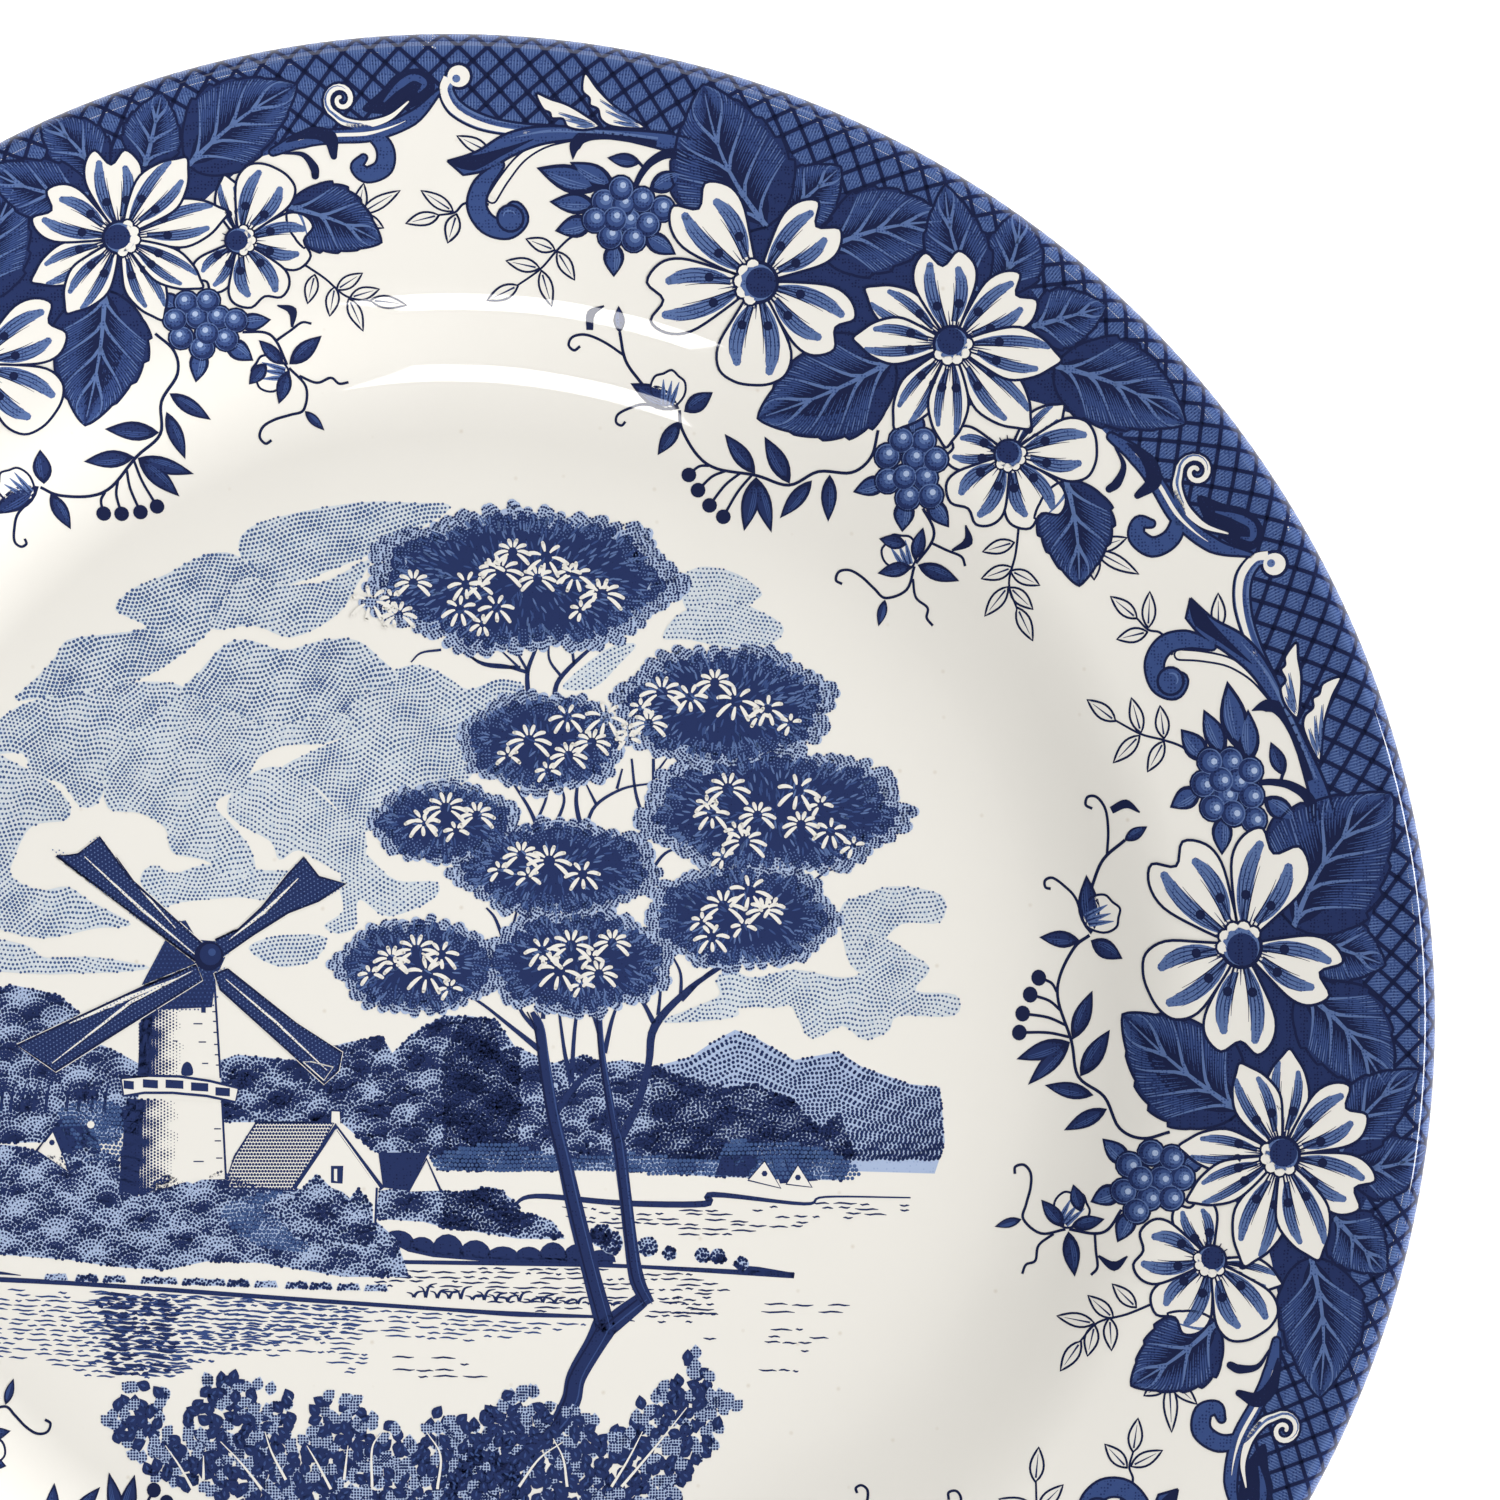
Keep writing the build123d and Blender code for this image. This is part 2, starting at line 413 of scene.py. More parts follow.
def left_scroll(sheet):
    """The scroll work from a cusp round to the first flower."""
    stem = smooth([0.7 + 120.9j, 0.2 + 119.4j, 1.3 + 117.2j, 4.2 + 115.5j, 8.5 + 114.6j, 14 + 114.5j])
    sheet.band("light", stem, [1.2, 1.4, 1.8, 1.7, 1.3, 0.6], 3)
    along = np.gradient(stem) / np.abs(np.gradient(stem))
    sheet.stroke("bare", stem - 0.34j * along, [1.1, 0.9, 0.95, 0.8, 0.5, 0.1], 5)
    sheet.dots("deep", 1.7 + 121.2j, 1.75, 3, 20)
    sheet.dots("bare", 1.7 + 121.2j, 1.35, 5, 20)
    sheet.dots("light", 1.4 + 120.9j, 0.5, 6, 12)
    sheet.stroke("mid", stem[4:] + 0.3j * along[4:], [0.1, 0.5, 0.5, 0.3], 5)
    top = [0.2 + 110.3j, 3.8 + 111.7j, 7.6 + 114.0j, 12.3 + 114.9j, 19.2 + 114.6j, 27.7 + 114.0j, 32 + 113j]
    low = [32 + 110.5j, 26.8 + 112.1j, 20 + 113.6j, 16.2 + 113.2j, 11.9 + 112.6j, 8.3 + 111.2j, 5.1 + 109.4j,
        2.1 + 108.6j]
    body = np.concatenate([smooth(top), smooth(low)])
    sheet.fill("mid", body, 5)
    sheet.edge("deep", body, 0.34, 6)
    sheet.stroke("deep", smooth([0.4 + 110.1j, 3.2 + 110.2j, 6.8 + 111.6j, 11 + 113.3j]),
        [0.5, 2.0, 0.9, 0.1], 7)
    sheet.stroke("light", smooth([8 + 113.4j, 13 + 114.3j, 20 + 114.1j, 27 + 113.3j]), [0.1, 0.45, 0.3], 7)
    thin = smooth([5.6 + 105.8j, 7.2 + 108.3j, 9.5 + 111.0j, 12.5 + 112.7j, 16.4 + 113.5j])
    sheet.band("bare", thin, [1.0, 0.9, 0.7, 0.4], 3, line=0.26)
    volute = smooth([6.6 + 110.0j, 4.4 + 107.4j, 3.7 + 104.7j, 5.0 + 102.5j, 7.5 + 101.9j, 9.2 + 103.2j,
        8.5 + 104.7j, 7.4 + 104.1j])
    sheet.band("mid", volute, [0.9, 1.9, 2.1, 2.2, 2.1, 1.7, 1.2, 0.6], 5)
    sheet.fill("deep", np.array([3.4 + 106.5j, 2.5 + 103.9j, 4.4 + 104.6j]), 5)
    sheet.dots("deep", 7.9 + 103.3j, 1.85, 7, 18)
    sheet.dots("mid", 7.9 + 103.3j, 1.5, 8, 18)
    sheet.stroke("light", 7.8 + 103.5j + polar(0.8, np.arange(20, 200, 20)), [0.1, 0.3, 0.1], 9)
    for tuft in (
        [11.4 + 119.0j, 12.2 + 117.1j, 13.1 + 116.6j, 13.4 + 115.9j, 14.8 + 115.8j, 15.4 + 114.8j,
            17.4 + 114.4j,
         19.4 + 114.9j, 17.4 + 116.4j, 15.3 + 117.6j, 13.2 + 118.3j],
        [17.7 + 121.5j, 17.3 + 119.4j, 18.2 + 118.4j, 18.3 + 117.5j, 19.3 + 117.0j, 19.7 + 115.7j,
            21.3 + 114.8j,
         25.3 + 114.6j, 23.4 + 116.0j, 21.3 + 117.5j, 19.2 + 119.6j],
    ):
        shape = smooth(tuft, closed=True, steps=4)
        sheet.fill("bare", shape, 8)
        sheet.edge("deep", shape, 0.34, 9)
        root = tuft[7]
        for tip in (tuft[1], tuft[3], tuft[5]):
            line = root + (tip - root) * np.linspace(0.12, 0.72, 5)
            sheet.stroke("light", line, [0.1, 0.5, 0.1], 9)
            sheet.stroke("dark", line + 0.2j, [0.05, 0.16, 0.05], 9)
    hook = smooth([16.0 + 110.7j, 16.3 + 112.4j, 17.6 + 113.6j, 20.9 + 113.6j, 26.8 + 112.6j])
    sheet.stroke("deep", hook, [0.1, 1.5, 1.5, 0.9, 0.8], 7)
    solid_leaf(sheet, 24.8 + 110.3j, 20.4 + 110.9j, 1.9, 6)
    vine(sheet, [24.6 + 110.2j, 25.4 + 109.4j], 0.3, 6)
    sheet.stroke("deep", smooth([31.4 + 110.8j, 28.5 + 111.4j, 26.2 + 110.4j, 24.8 + 108.8j, 24.0 + 107.2j]),
        [1.6, 1.2, 0.9, 0.7], 6)


def right_scroll(sheet):
    """The scroll work from the last flower to the next cusp."""
    frame_line = smooth([85.2 + 75.0j, 88.6 + 72.4j, 91.1 + 69.0j, 93.9 + 64.8j, 98.2 + 61.5j, 102.9 + 60.3j])
    sheet.band("mid", frame_line, [0.8, 1.9, 1.6, 1.7, 1.5, 0.3], 5)
    sheet.stroke("bare", frame_line[5:24] + 0.15, [0.05, 0.5, 0.5, 0.05], 7)
    curl = spiral(95.9 + 70.6j, 0.35, 2.15, 60, 1.35)
    tail = smooth([curl[-1], 93.6 + 68.6j, 94.7 + 66.0j, 97.0 + 63.9j, 100.0 + 62.9j])
    mass = smooth([96.2 + 67.6j, 99.4 + 66.6j, 102.2 + 65.9j, 104.1 + 64.1j, 104.3 + 62.1j, 102.6 + 60.8j,
        99.4 + 62.2j, 97.0 + 64.8j], True)
    sheet.fill("deep", mass, 3)
    sheet.stroke("mid", smooth([98.4 + 65.6j, 100.8 + 65.0j, 102.9 + 63.9j, 103.0 + 62.3j, 101.6 + 62.4j]),
        [0.2, 0.9, 0.8, 0.2], 4)
    sheet.band("bare", np.concatenate([curl, tail[1:]]), [0.5, 0.6, 0.8, 1.1, 0.9, 0.2], 5, line=0.34)
    sheet.stroke("light", np.concatenate([curl[14:], tail[1:12]]) + 0.25j, [0.05, 0.3, 0.4, 0.1], 7)
    volute = smooth([93.5 + 68.2j, 94.0 + 65.3j, 93.0 + 62.4j, 90.6 + 61.2j, 88.6 + 62.5j, 88.9 + 64.2j,
        90.4 + 64.1j])
    sheet.band("mid", volute, [0.6, 1.5, 1.9, 2.1, 1.9, 1.4, 0.7], 5)
    for hook, width in (
        ([87.2 + 74.2j, 89.9 + 72.0j, 90.6 + 69.4j, 88.6 + 67.6j], [0.2, 1.7, 2.1, 0.9]),
        ([85.6 + 73.8j, 86.8 + 71.4j, 86.0 + 69.2j, 85.0 + 68.4j], [0.2, 0.7, 1.2, 1.0]),
    ):
        line = smooth(hook)
        sheet.stroke("deep", line, width, 8)
        sheet.dots("deep", line[-1], width[-1] / 2, 8, 10)


def bud(sheet, cup, facing, level):
    """A half-open bud: a white scalloped cup with shaded bands."""
    turn = polar(1.0, facing)
    shape = smooth(cup + turn * np.array([-2.2 + 0.9j, -0.4 + 2.3j, 1.3 + 2.1j, 1.9 + 1.0j, 2.5 + 0j,
        1.9 - 1.0j, 1.2 - 2.0j, -0.5 - 2.1j, -2.2 - 0.8j]), True, 4)
    sheet.fill("bare", shape, level)
    sheet.edge("deep", shape, 0.3, level + 1)
    for way in (-1.1, -0.2, 0.8):
        line = cup + turn * (np.linspace(-1.9, 1.2, 5) + 1j * way * np.linspace(0.5, 1.1, 5))
        sheet.stroke("light", line, [0.7, 0.6, 0.1], level + 1)
        sheet.stroke("dark", line[:4], [0.3, 0.15, 0.05], level + 2)


def trailing_vines(sheet):
    """What hangs below the flowers: vines, buds, tendrils, sprigs and round berries on stalks."""
    vine(sheet, [29.6 + 79j, 29.9 + 76.6j, 31.9 + 73.2j, 34.5 + 71.4j, 39.6 + 70.5j, 43.9 + 69.2j,
        47.7 + 70.9j,
                 52 + 70.7j, 54.5 + 72.6j, 55.4 + 76j], 0.3, 5)
    for base, tip, width in (
        (39.5 + 70.7j, 35.5 + 75.9j, 2.3), (44.0 + 69.4j, 40.7 + 75.5j, 2.5),
        (46.9 + 69.8j, 42.7 + 64.9j, 2.1),
        (49.2 + 70.5j, 49.0 + 64.4j, 2.1), (39.6 + 70.3j, 38.0 + 63.2j, 2.4),
        (39.6 + 70.3j, 41.6 + 63.0j, 2.2),
        (30.2 + 78.8j, 34.0 + 81.2j, 2.4), (29.6 + 77.6j, 26.7 + 73.2j, 2.1),
        (21.9 + 88.8j, 21.8 + 92.2j, 1.5),
        (29.6 + 79.2j, 23.2 + 82.5j, 2.8),
    ):
        solid_leaf(sheet, base, tip, width, 6)
    for ball, root in (
        (30.8 + 70.6j, 33.4 + 71.8j), (32.0 + 68.6j, 35.6 + 71.1j), (33.5 + 66.6j, 37.5 + 70.8j),
        (35.3 + 65.1j, 39.0 + 70.5j),
    ):
        middle = (ball + root) / 2 + 0.5j
        vine(sheet, [root, middle, ball], 0.26, 5)
        sheet.dots("deep", ball, 0.98, 6, 14)
    bud(sheet, 28.2 + 81.6j, 80, 6)
    vine(sheet, [26.4 + 80.6j, 24.4 + 82.8j, 22.6 + 85.4j, 21.9 + 88.9j], 0.3, 5)
    vine(sheet, [22.4 + 86.0j, 20.0 + 87.6j, 17.6 + 88.6j, 15.8 + 88.4j, 15.2 + 87.4j, 15.9 + 86.7j,
        16.7 + 87.2j], 0.24, 5)
    vine(sheet, [27.6 + 79.2j, 25.0 + 79.8j, 23.0 + 79.3j, 21.5 + 78.5j, 21.3 + 77.5j, 22.0 + 77.1j,
        22.5 + 77.6j], 0.24, 5)
    sheet.stroke("deep", smooth([18.0 + 89.2j, 18.2 + 91.2j, 19.9 + 92.2j]), [0.9, 1.1, 0.2], 6)

    for base, tip, width in (
        (60.6 + 58.8j, 66.0 + 56.7j, 2.2), (60.2 + 59.4j, 61.3 + 63.6j, 1.9),
        (59.9 + 58.6j, 55.4 + 57.7j, 2.0),
        (59.2 + 61.4j, 55.6 + 62.2j, 1.9), (56.4 + 54.3j, 55.5 + 50.8j, 1.3),
    ):
        solid_leaf(sheet, base, tip, width, 8)
    bud(sheet, 58.4 + 60.4j, 115, 6)
    vine(sheet, [60.2 + 58.6j, 59.2 + 55.6j, 56.5 + 54.5j, 55.0 + 55.7j, 53.4 + 57.2j, 51.8 + 58.1j,
        50.4 + 57.9j, 50.0 + 56.8j, 50.8 + 56.3j], 0.26, 5)
    vine(sheet, [60.0 + 57.0j, 60.4 + 54.6j, 61.9 + 53.3j, 61.8 + 52.0j, 62.6 + 51.0j], 0.24, 5)
    vine(sheet, [61.2 + 66.0j, 62.6 + 63.4j, 62.3 + 61.5j, 60.4 + 59.0j], 0.28, 5)
    vine(sheet, [62.3 + 61.6j, 64.4 + 60.6j, 66.2 + 59.8j, 66.7 + 58.6j], 0.24, 5)
    sheet.stroke("deep", smooth([65.0 + 60.6j, 67.0 + 61.7j, 66.7 + 63.8j]), [0.3, 1.3, 0.2], 6)

    sprig(sheet, [5.2 + 105.0j, 2.3 + 105.0j, 1.0 + 103.7j, -0.9 + 103.1j],
          [(0.8 + 103.8j, -3.0 + 106.1j), (-0.9 + 103.1j, -4.9 + 101.4j), (1.2 + 103.5j, 0.1 + 99.6j)], 3)
    outline_leaf(sheet, 5.4 + 111.6j, 1.4 + 113.6j, 1.7, 3)
    sprig(sheet, [18.0 + 101.8j, 15.7 + 100.9j, 13.8 + 99.2j, 11.7 + 96.9j, 8.7 + 94.8j],
          [(13.6 + 99.3j, 9.9 + 100.7j), (13.9 + 99.1j, 16.1 + 95.5j), (11.6 + 97.0j, 7.3 + 97.9j),
           (11.8 + 96.7j, 13.1 + 92.2j), (8.8 + 94.8j, 4.8 + 92.8j)], 3)
    sprig(sheet, [73.5 + 64.0j, 73.1 + 60.2j, 72.3 + 56.4j, 73.4 + 53.2j],
          [(72.9 + 61.6j, 68.9 + 60.4j), (72.7 + 58.4j, 68.8 + 57.0j), (72.5 + 58.0j, 76.2 + 56.2j),
           (72.2 + 56.0j, 69.3 + 52.3j), (72.4 + 55.9j, 75.4 + 53.2j), (73.4 + 53.4j, 75.5 + 49.3j)], 3)
    sprig(sheet, [81.8 + 61.8j, 83.0 + 60.8j],
          [(83.0 + 60.8j, 87.3 + 62.3j), (83.3 + 60.6j, 88.9 + 57.8j), (83.0 + 60.5j, 83.2 + 57.0j)], 3)


def flowers(sheet):
    """The three flowers and the two clusters of berries with their leaves."""
    for base, tip, width in (
        (19.6 + 107.0j, 11.3 + 109.7j, 3.6), (21.5 + 107.3j, 15.6 + 110.4j, 2.8),
        (19.2 + 105.0j, 12.9 + 105.4j, 2.8),
        (18.7 + 102.8j, 13.6 + 101.7j, 3.0), (21.2 + 100.4j, 21.2 + 95.8j, 2.8),
        (25.0 + 101.3j, 29.3 + 98.6j, 2.7),
        (25.8 + 106.8j, 30.3 + 109.0j, 2.8),
    ):
        solid_leaf(sheet, base, tip, width, 5, tone="mid")
    berries(sheet, [27.5 + 104.4j, 24.9 + 105.6j, 22.2 + 107.0j, 20.0 + 105.4j, 25.6 + 102.5j, 18.8 + 103.1j,
                    20.8 + 101.0j, 23.8 + 100.6j, 21.4 + 103.2j, 23.2 + 102.9j, 22.5 + 105.0j], 1.5, 7)
    for base, tip, width in (
        (56.8 + 69.6j, 52.2 + 68.2j, 2.6), (59.0 + 67.4j, 58.6 + 63.0j, 2.8),
        (61.8 + 67.3j, 64.6 + 63.5j, 2.6),
        (60.0 + 75.0j, 60.5 + 78.6j, 2.6),
    ):
        solid_leaf(sheet, base, tip, width, 5, tone="mid")
    berries(sheet, [61.2 + 74.6j, 58.4 + 74.7j, 62.8 + 72.2j, 56.6 + 72.7j, 56.7 + 69.6j, 62.2 + 67.6j,
        59.3 + 67.4j,
                    61.5 + 69.8j, 58.8 + 70.0j, 60.1 + 72.3j], 1.5, 7)
    flower(sheet, 72.2 + 72.8j, [(42, 9.4, 4.2, 0), (4, 11.2, 8.0, -1), (-62, 9.8, 8.0, 0.12),
        (-128, 9.6, 8.2, 0.1),
                                 (172, 8.0, 5.6, 0.1)], 1.9, -60, 6)
    flower(sheet, 64.8 + 86.9j, [(147, 13.3, 5.8, 0), (96, 11.9, 8.0, 0.16), (36, 12.2, 7.6, 0.16),
        (-9, 14.2, 6.8, 0),
                                 (-47, 14.8, 6.8, 0), (-93, 13.2, 5.2, 0), (-124, 13.0, 5.4, 0),
                                 (176, 12.7, 6.0, 0)],
           2.3, -70, 9)
    flower(sheet, 39.8 + 95.0j, [(128, 14.4, 9.6, 0.16), (42, 12.6, 8.4, 0.18), (-31, 13.2, 9.0, 0.12),
                                 (-93, 13.0, 9.6, -1), (-171, 14.4, 9.4, 0.14)], 2.6, 175, 10)


def lattice_band():
    """The net round the edge: one repeat, turned about the plate."""
    unit = Print()
    lattice(unit)
    return unit.turned(REPEATS).moved(slipped)


def garland():
    """The flowers and scrolls of the border: one repeat, turned about the plate."""
    unit = Print()
    foliage(unit)
    left_scroll(unit)
    right_scroll(unit)
    trailing_vines(unit)
    flowers(unit)
    return unit.turned(REPEATS).moved(slipped)


def slipped(points):
    """Where the border's transfer lies: laid by hand, it slid and stretched a little on its way round."""
    radius = np.abs(points)
    turn = np.mod(CUSP_ANGLE - np.degrees(np.angle(points)) + 60, 360) - 60
    # 1 on the repeat that was laid last, 0 elsewhere
    last = 1 / (1 + np.exp(turn / 1.5)) / (1 + np.exp((-60 - turn) / 1.5))
    slide = 5.7 / (1 + np.exp((76 - turn) / 8.5)) / (1 + np.exp((turn - 240) / 12))
    slide = slide - 0.085 * (turn + 15) * last - 0.25 * (1 - last)
    free = np.clip((124 - radius) / 12, 0, 1)  # none of it at the plate's edge
    pull = 3.2 * last * np.clip((118 - radius) / 30, 0, 1)
    pull += (1.5 * np.exp(-(((turn - 126) / 22) ** 2)) - 1.25 * np.exp(-(((turn - 72) / 12) ** 2))) * free
    return points * (1 + pull / radius) * np.exp(-1j * slide / radius)


# ---------------------------------------------------------------- the picture in the well
PICTURE_SCALE = 1.02  # of the drawing below
PICTURE_SHIFT = -0.8 - 0.7j  # of its middle from the plate's


def noise(points, size, seed=0.0):
    """A smooth value from about -1 to 1 that changes over a size in millimetres."""
    x, y = points.real * 2 * pi / size, points.imag * 2 * pi / size
    total = np.sin(x + 1.7 * y + seed) + np.sin(1.3 * x - 0.9 * y + 2.1 * seed)
    total = total + np.sin(-0.6 * x + 2.2 * y + 3.7 * seed)
    return total / 2.2


def stipple(sheet, outline, size, wave, swing, level, tilt=0.0, tone="sky", pitch=0.54, seed=0.0):
    """Rows of dots inside an outline; the rows run in waves, and the dots swell and shrink."""
    shape = smooth(outline, closed=True, steps=4)
    middle = shape.mean()
    reach = np.abs(shape - middle).max() + 2
    row = np.arange(-reach, reach, pitch)
    x, y = np.meshgrid(row, row)
    x = x + pitch / 2 * (np.round(y / pitch) % 2)
    points = middle + (x + 1j * y) * polar(1.0, tilt)
    lift = 0.8 * wave * np.sin(points.real * 2 * pi / 15 + 0.25 * points.imag + seed)
    lift += 0.22 * wave * np.sin(points.real * 2 * pi / 5.5 - 0.5 * points.imag + 2 * seed)
    points = points + 1j * lift + 0.04 * noise(points, 1.3, seed)
    points = points[inside(points.ravel(), shape).reshape(points.shape)]
    radius = size * (1 + swing * noise(points, 9.0, seed + 1) + 0.4 * swing * noise(points, 3.1, seed))
    keep = radius > 0.055
    sheet.dots(tone, points[keep], radius[keep], level + 1, 6)


def puffs(sheet, outline, size, seed, level, dot, shade=0.35):
    """Bushes and tree tops: overlapping rounds, each of dotted arcs, darker low down."""
    shape = np.asarray(outline)
    chance = np.random.RandomState(seed)
    low, high = shape.imag.min(), shape.imag.max()
    sheet.fill("haze", shape, level)
    pitch = 0.46  # of the dots
    centres = []
    for y in np.arange(high, low - size, -0.62 * size):
        for x in np.arange(shape.real.min() - size, shape.real.max() + size, 1.25 * size):
            centres.append(x + 1j * y + size * (chance.uniform(-0.45, 0.45) + 1j * chance.uniform(-0.25,
                0.25)))
    centres = np.array(centres)
    sizes = size * chance.uniform(0.75, 1.2, len(centres))
    for i, centre in enumerate(centres):
        for radius in np.arange(sizes[i], 0.2, -pitch):
            turn = np.arange(-12, 192, np.degrees(pitch / radius))
            points = centre + polar(radius, turn + chance.uniform(0, 9))
            later = np.abs(points[:, None] - centres[None, i + 1 :]) < sizes[None, i + 1 :]
            keep = ~later.any(1)
            points = points[keep]
            if not len(points):
                continue
            points = points[inside(points, shape)]
            depth = 1 - radius / sizes[i]
            swell = (dot + 0.032) * (1 + shade * (1.6 * depth - 0.4) + 0.35 * noise(points, 9.0, seed))
            sheet.dots("dark", points, np.maximum(swell, 0.06), level + 1, 6)


def frond(sheet, base, angle, length, level, ground, tone):
    """A leaflet of the feathery foliage: a short rounded lobe of dots."""
    way = polar(1.0, angle)
    spine = base + way * np.linspace(0, length, 4)
    sheet.stroke(ground, spine, [0.9, 1.5, 1.4], level)
    sheet.dots(ground, spine[-1], 0.66, level, 9)
    for step in np.arange(0, length + 0.5, 0.44):
        side = np.array([-0.64, -0.21, 0.21, 0.64]) * (0.72 if step > length - 0.1 else 1)
        spots = base + way * (step - 0.5 * side**2) + 1j * way * side
        sheet.dots(tone, spots, 0.17 if ground == "haze" else 0.1, level + 0.7, 6)


def burst(sheet, centre, size, rays, level, start, spread):
    """A white tuft: short blunt strokes of light round a point, longer at the sides and drooping."""
    t = np.linspace(0, 1, 5)
    for turn in np.linspace(start, start + spread, rays, endpoint=spread < 360):
        way = polar(1.0, turn)
        reach = size * (0.72 + 0.3 * abs(way.real))
        line = centre + way * (0.28 * size + (reach - 0.28 * size) * t) - 0.3j * size * abs(way.real) * t**2
        sheet.stroke("bare", line, [0.2, 0.44, 0.54, 0.44], level)
        sheet.dots("bare", line[-1], 0.22, level, 7)


def canopy(sheet, centre, wide, tall, stars, seed, level):
    """A flat crown of feathery foliage: dark within, dotted at the rim, with white tufts."""
    chance = np.random.RandomState(seed)
    turn = np.arange(0, 360, 6)
    edge_wave = 0.86 + 0.05 * np.sin(np.radians(turn * 7 + seed * 40)) + 0.03 * np.sin(np.radians(turn * 13))
    body = centre + (wide * np.cos(np.radians(turn)) + 1j * tall * np.sin(np.radians(turn))) * edge_wave
    around_it = 2 * pi * (wide + tall) / 2
    sheet.fill("haze", centre + (body - centre) * 1.06, level + 0.35)
    sheet.fill("dark", centre + (body - centre) * 0.9, level + 4)
    for ring, up, ground, tone in ((0.99, 0, "haze", "dark"), (0.92, 2, "haze", "dark"),
        (0.84, 5, "dark", "light")):
        count = int(around_it * ring / 1.3)
        for n, t in enumerate(np.arange(count) * 360 / count + chance.uniform(-4, 4, count)):
            way = cos(radians(t)) * wide + 1j * sin(radians(t)) * tall
            wobble = 1 + 0.06 * sin(radians(t * 7 + seed * 40))
            start = centre + way * (ring - 1.5 / abs(way)) * wobble
            lean = np.degrees(np.angle(way)) + 12 * cos(radians(t)) * (-1 if sin(radians(t)) > 0 else 1)
            frond(sheet, start, lean, chance.uniform(0.9, 1.6), level + up + n % 2, ground, tone)
    for _ in range(int(wide * tall * 3.4)):
        spot = centre + wide * chance.uniform(-0.85, 0.85) + 1j * tall * chance.uniform(-0.85, 0.85)
        share = abs((spot - centre).real / wide + 1j * (spot - centre).imag / tall)
        if share < 0.8:
            way = np.angle((spot - centre).real * 0.5 + 1j * (spot - centre).imag,
                deg=True) + chance.uniform(-25, 25)
            leaflet = spot + polar(1.0, way) * np.linspace(0, 1.1, 4)
            tone = "light" if chance.uniform() < share else "mid"
            sheet.stroke(tone, leaflet, [0.1, 0.24, 0.24, 0.1], level + 7)
    for n, star in enumerate(stars):
        up = level + 8 + 0.6 * (n % 5)
        whole = n % 2
        burst(sheet, star, 2.2 if n % 3 else 2.7, 8 - whole, up, n * 17 if whole else -25,
            360 if whole else 230)
        small = star + (2.9 - 1.9j if n % 2 else -2.7 - 2.0j)
        if n % 3 != 1:
            burst(sheet, small, 1.5, 5, up + 0.3, -15 + n * 9, 215)


def dashes(sheet, outline, seed, density, slope, width=0.24, gap=0.62, longest=3.4, level=0, tone="dark"):
    """Water: level rows of short strokes inside an outline."""
    shape = np.asarray(outline)
    chance = np.random.RandomState(seed)
    left, right = shape.real.min(), shape.real.max()
    for y in np.arange(shape.imag.min(), shape.imag.max() + 2, gap):
        x = left + chance.uniform(0, 2)
        while x < right:
            run = chance.uniform(0.7, longest)
            start = x + 1j * (y + chance.uniform(-0.12, 0.12) + slope * (x - left))
            ends = start + run * (1 + 1j * slope) * np.array([0, 1])
            if inside(ends, shape).all() and chance.uniform() < density:
                path = start + run * (1 + 1j * slope) * np.linspace(0, 1, 5)
                path = path + 0.07j * np.sin(np.arange(5) * 1.9 + x)
                sheet.stroke(tone, path, [0.08, width, width, width, 0.08], level)
            x += run + chance.uniform(0.15, 0.7)


def leafy(sheet, outline, seed):
    """Foreground shrubs: small round leaves, dark or dotted, packed more tightly low down."""
    shape = np.asarray(outline)
    chance = np.random.RandomState(seed)
    size = 1.6
    for y in np.arange(shape.imag.max(), max(shape.imag.min(), -66.5), -size * 0.62):
        for x in np.arange(shape.real.min(), shape.real.max(), size * 0.62):
            spot = x + chance.uniform(-0.5, 0.5) + 1j * (y + chance.uniform(-0.5, 0.5))
            here, deep = inside(np.array([spot, spot + 2.4j]), shape)
            if not here or chance.uniform() < (0.1 if deep else 0.35):
                continue
            angle = chance.uniform(20, 160)
            leaf = almond(spot - polar(size * 0.62, angle), spot + polar(size * 0.62, angle), size * 0.95,
                steps=6)
            up = 1 + 2 * chance.randint(3)
            if chance.uniform() < (0.62 if deep else 0.5):
                sheet.fill("dark", leaf, up + 1)
                sheet.fill("mid", almond(spot - polar(0.3, angle), spot + polar(0.45, angle), 0.3, steps=5),
                    up + 1.5)
            else:
                sheet.fill("haze", leaf, up)
                step = np.arange(-0.6, 0.61, 0.38)
                gx, gy = np.meshgrid(step, step)
                points = spot + (gx + 1j * gy).ravel()
                sheet.dots("dark", points[inside(points, leaf)], 0.165, up + 1, 6)


def branches(sheet, limbs, level):
    """Trunks and boughs, each a path with its widths."""
    for path, width in limbs:
        line = smooth(path, steps=5)
        sheet.stroke("dark", line, width, level)
        if np.max(width) > 1.2:
            sheet.stroke("mid", line + 0.22 * np.max(width), [0.1, 0.22, 0.1], level + 1)
            sheet.stroke("deep", line - 0.25 * np.max(width), [0.2, 0.3, 0.2], level + 1)


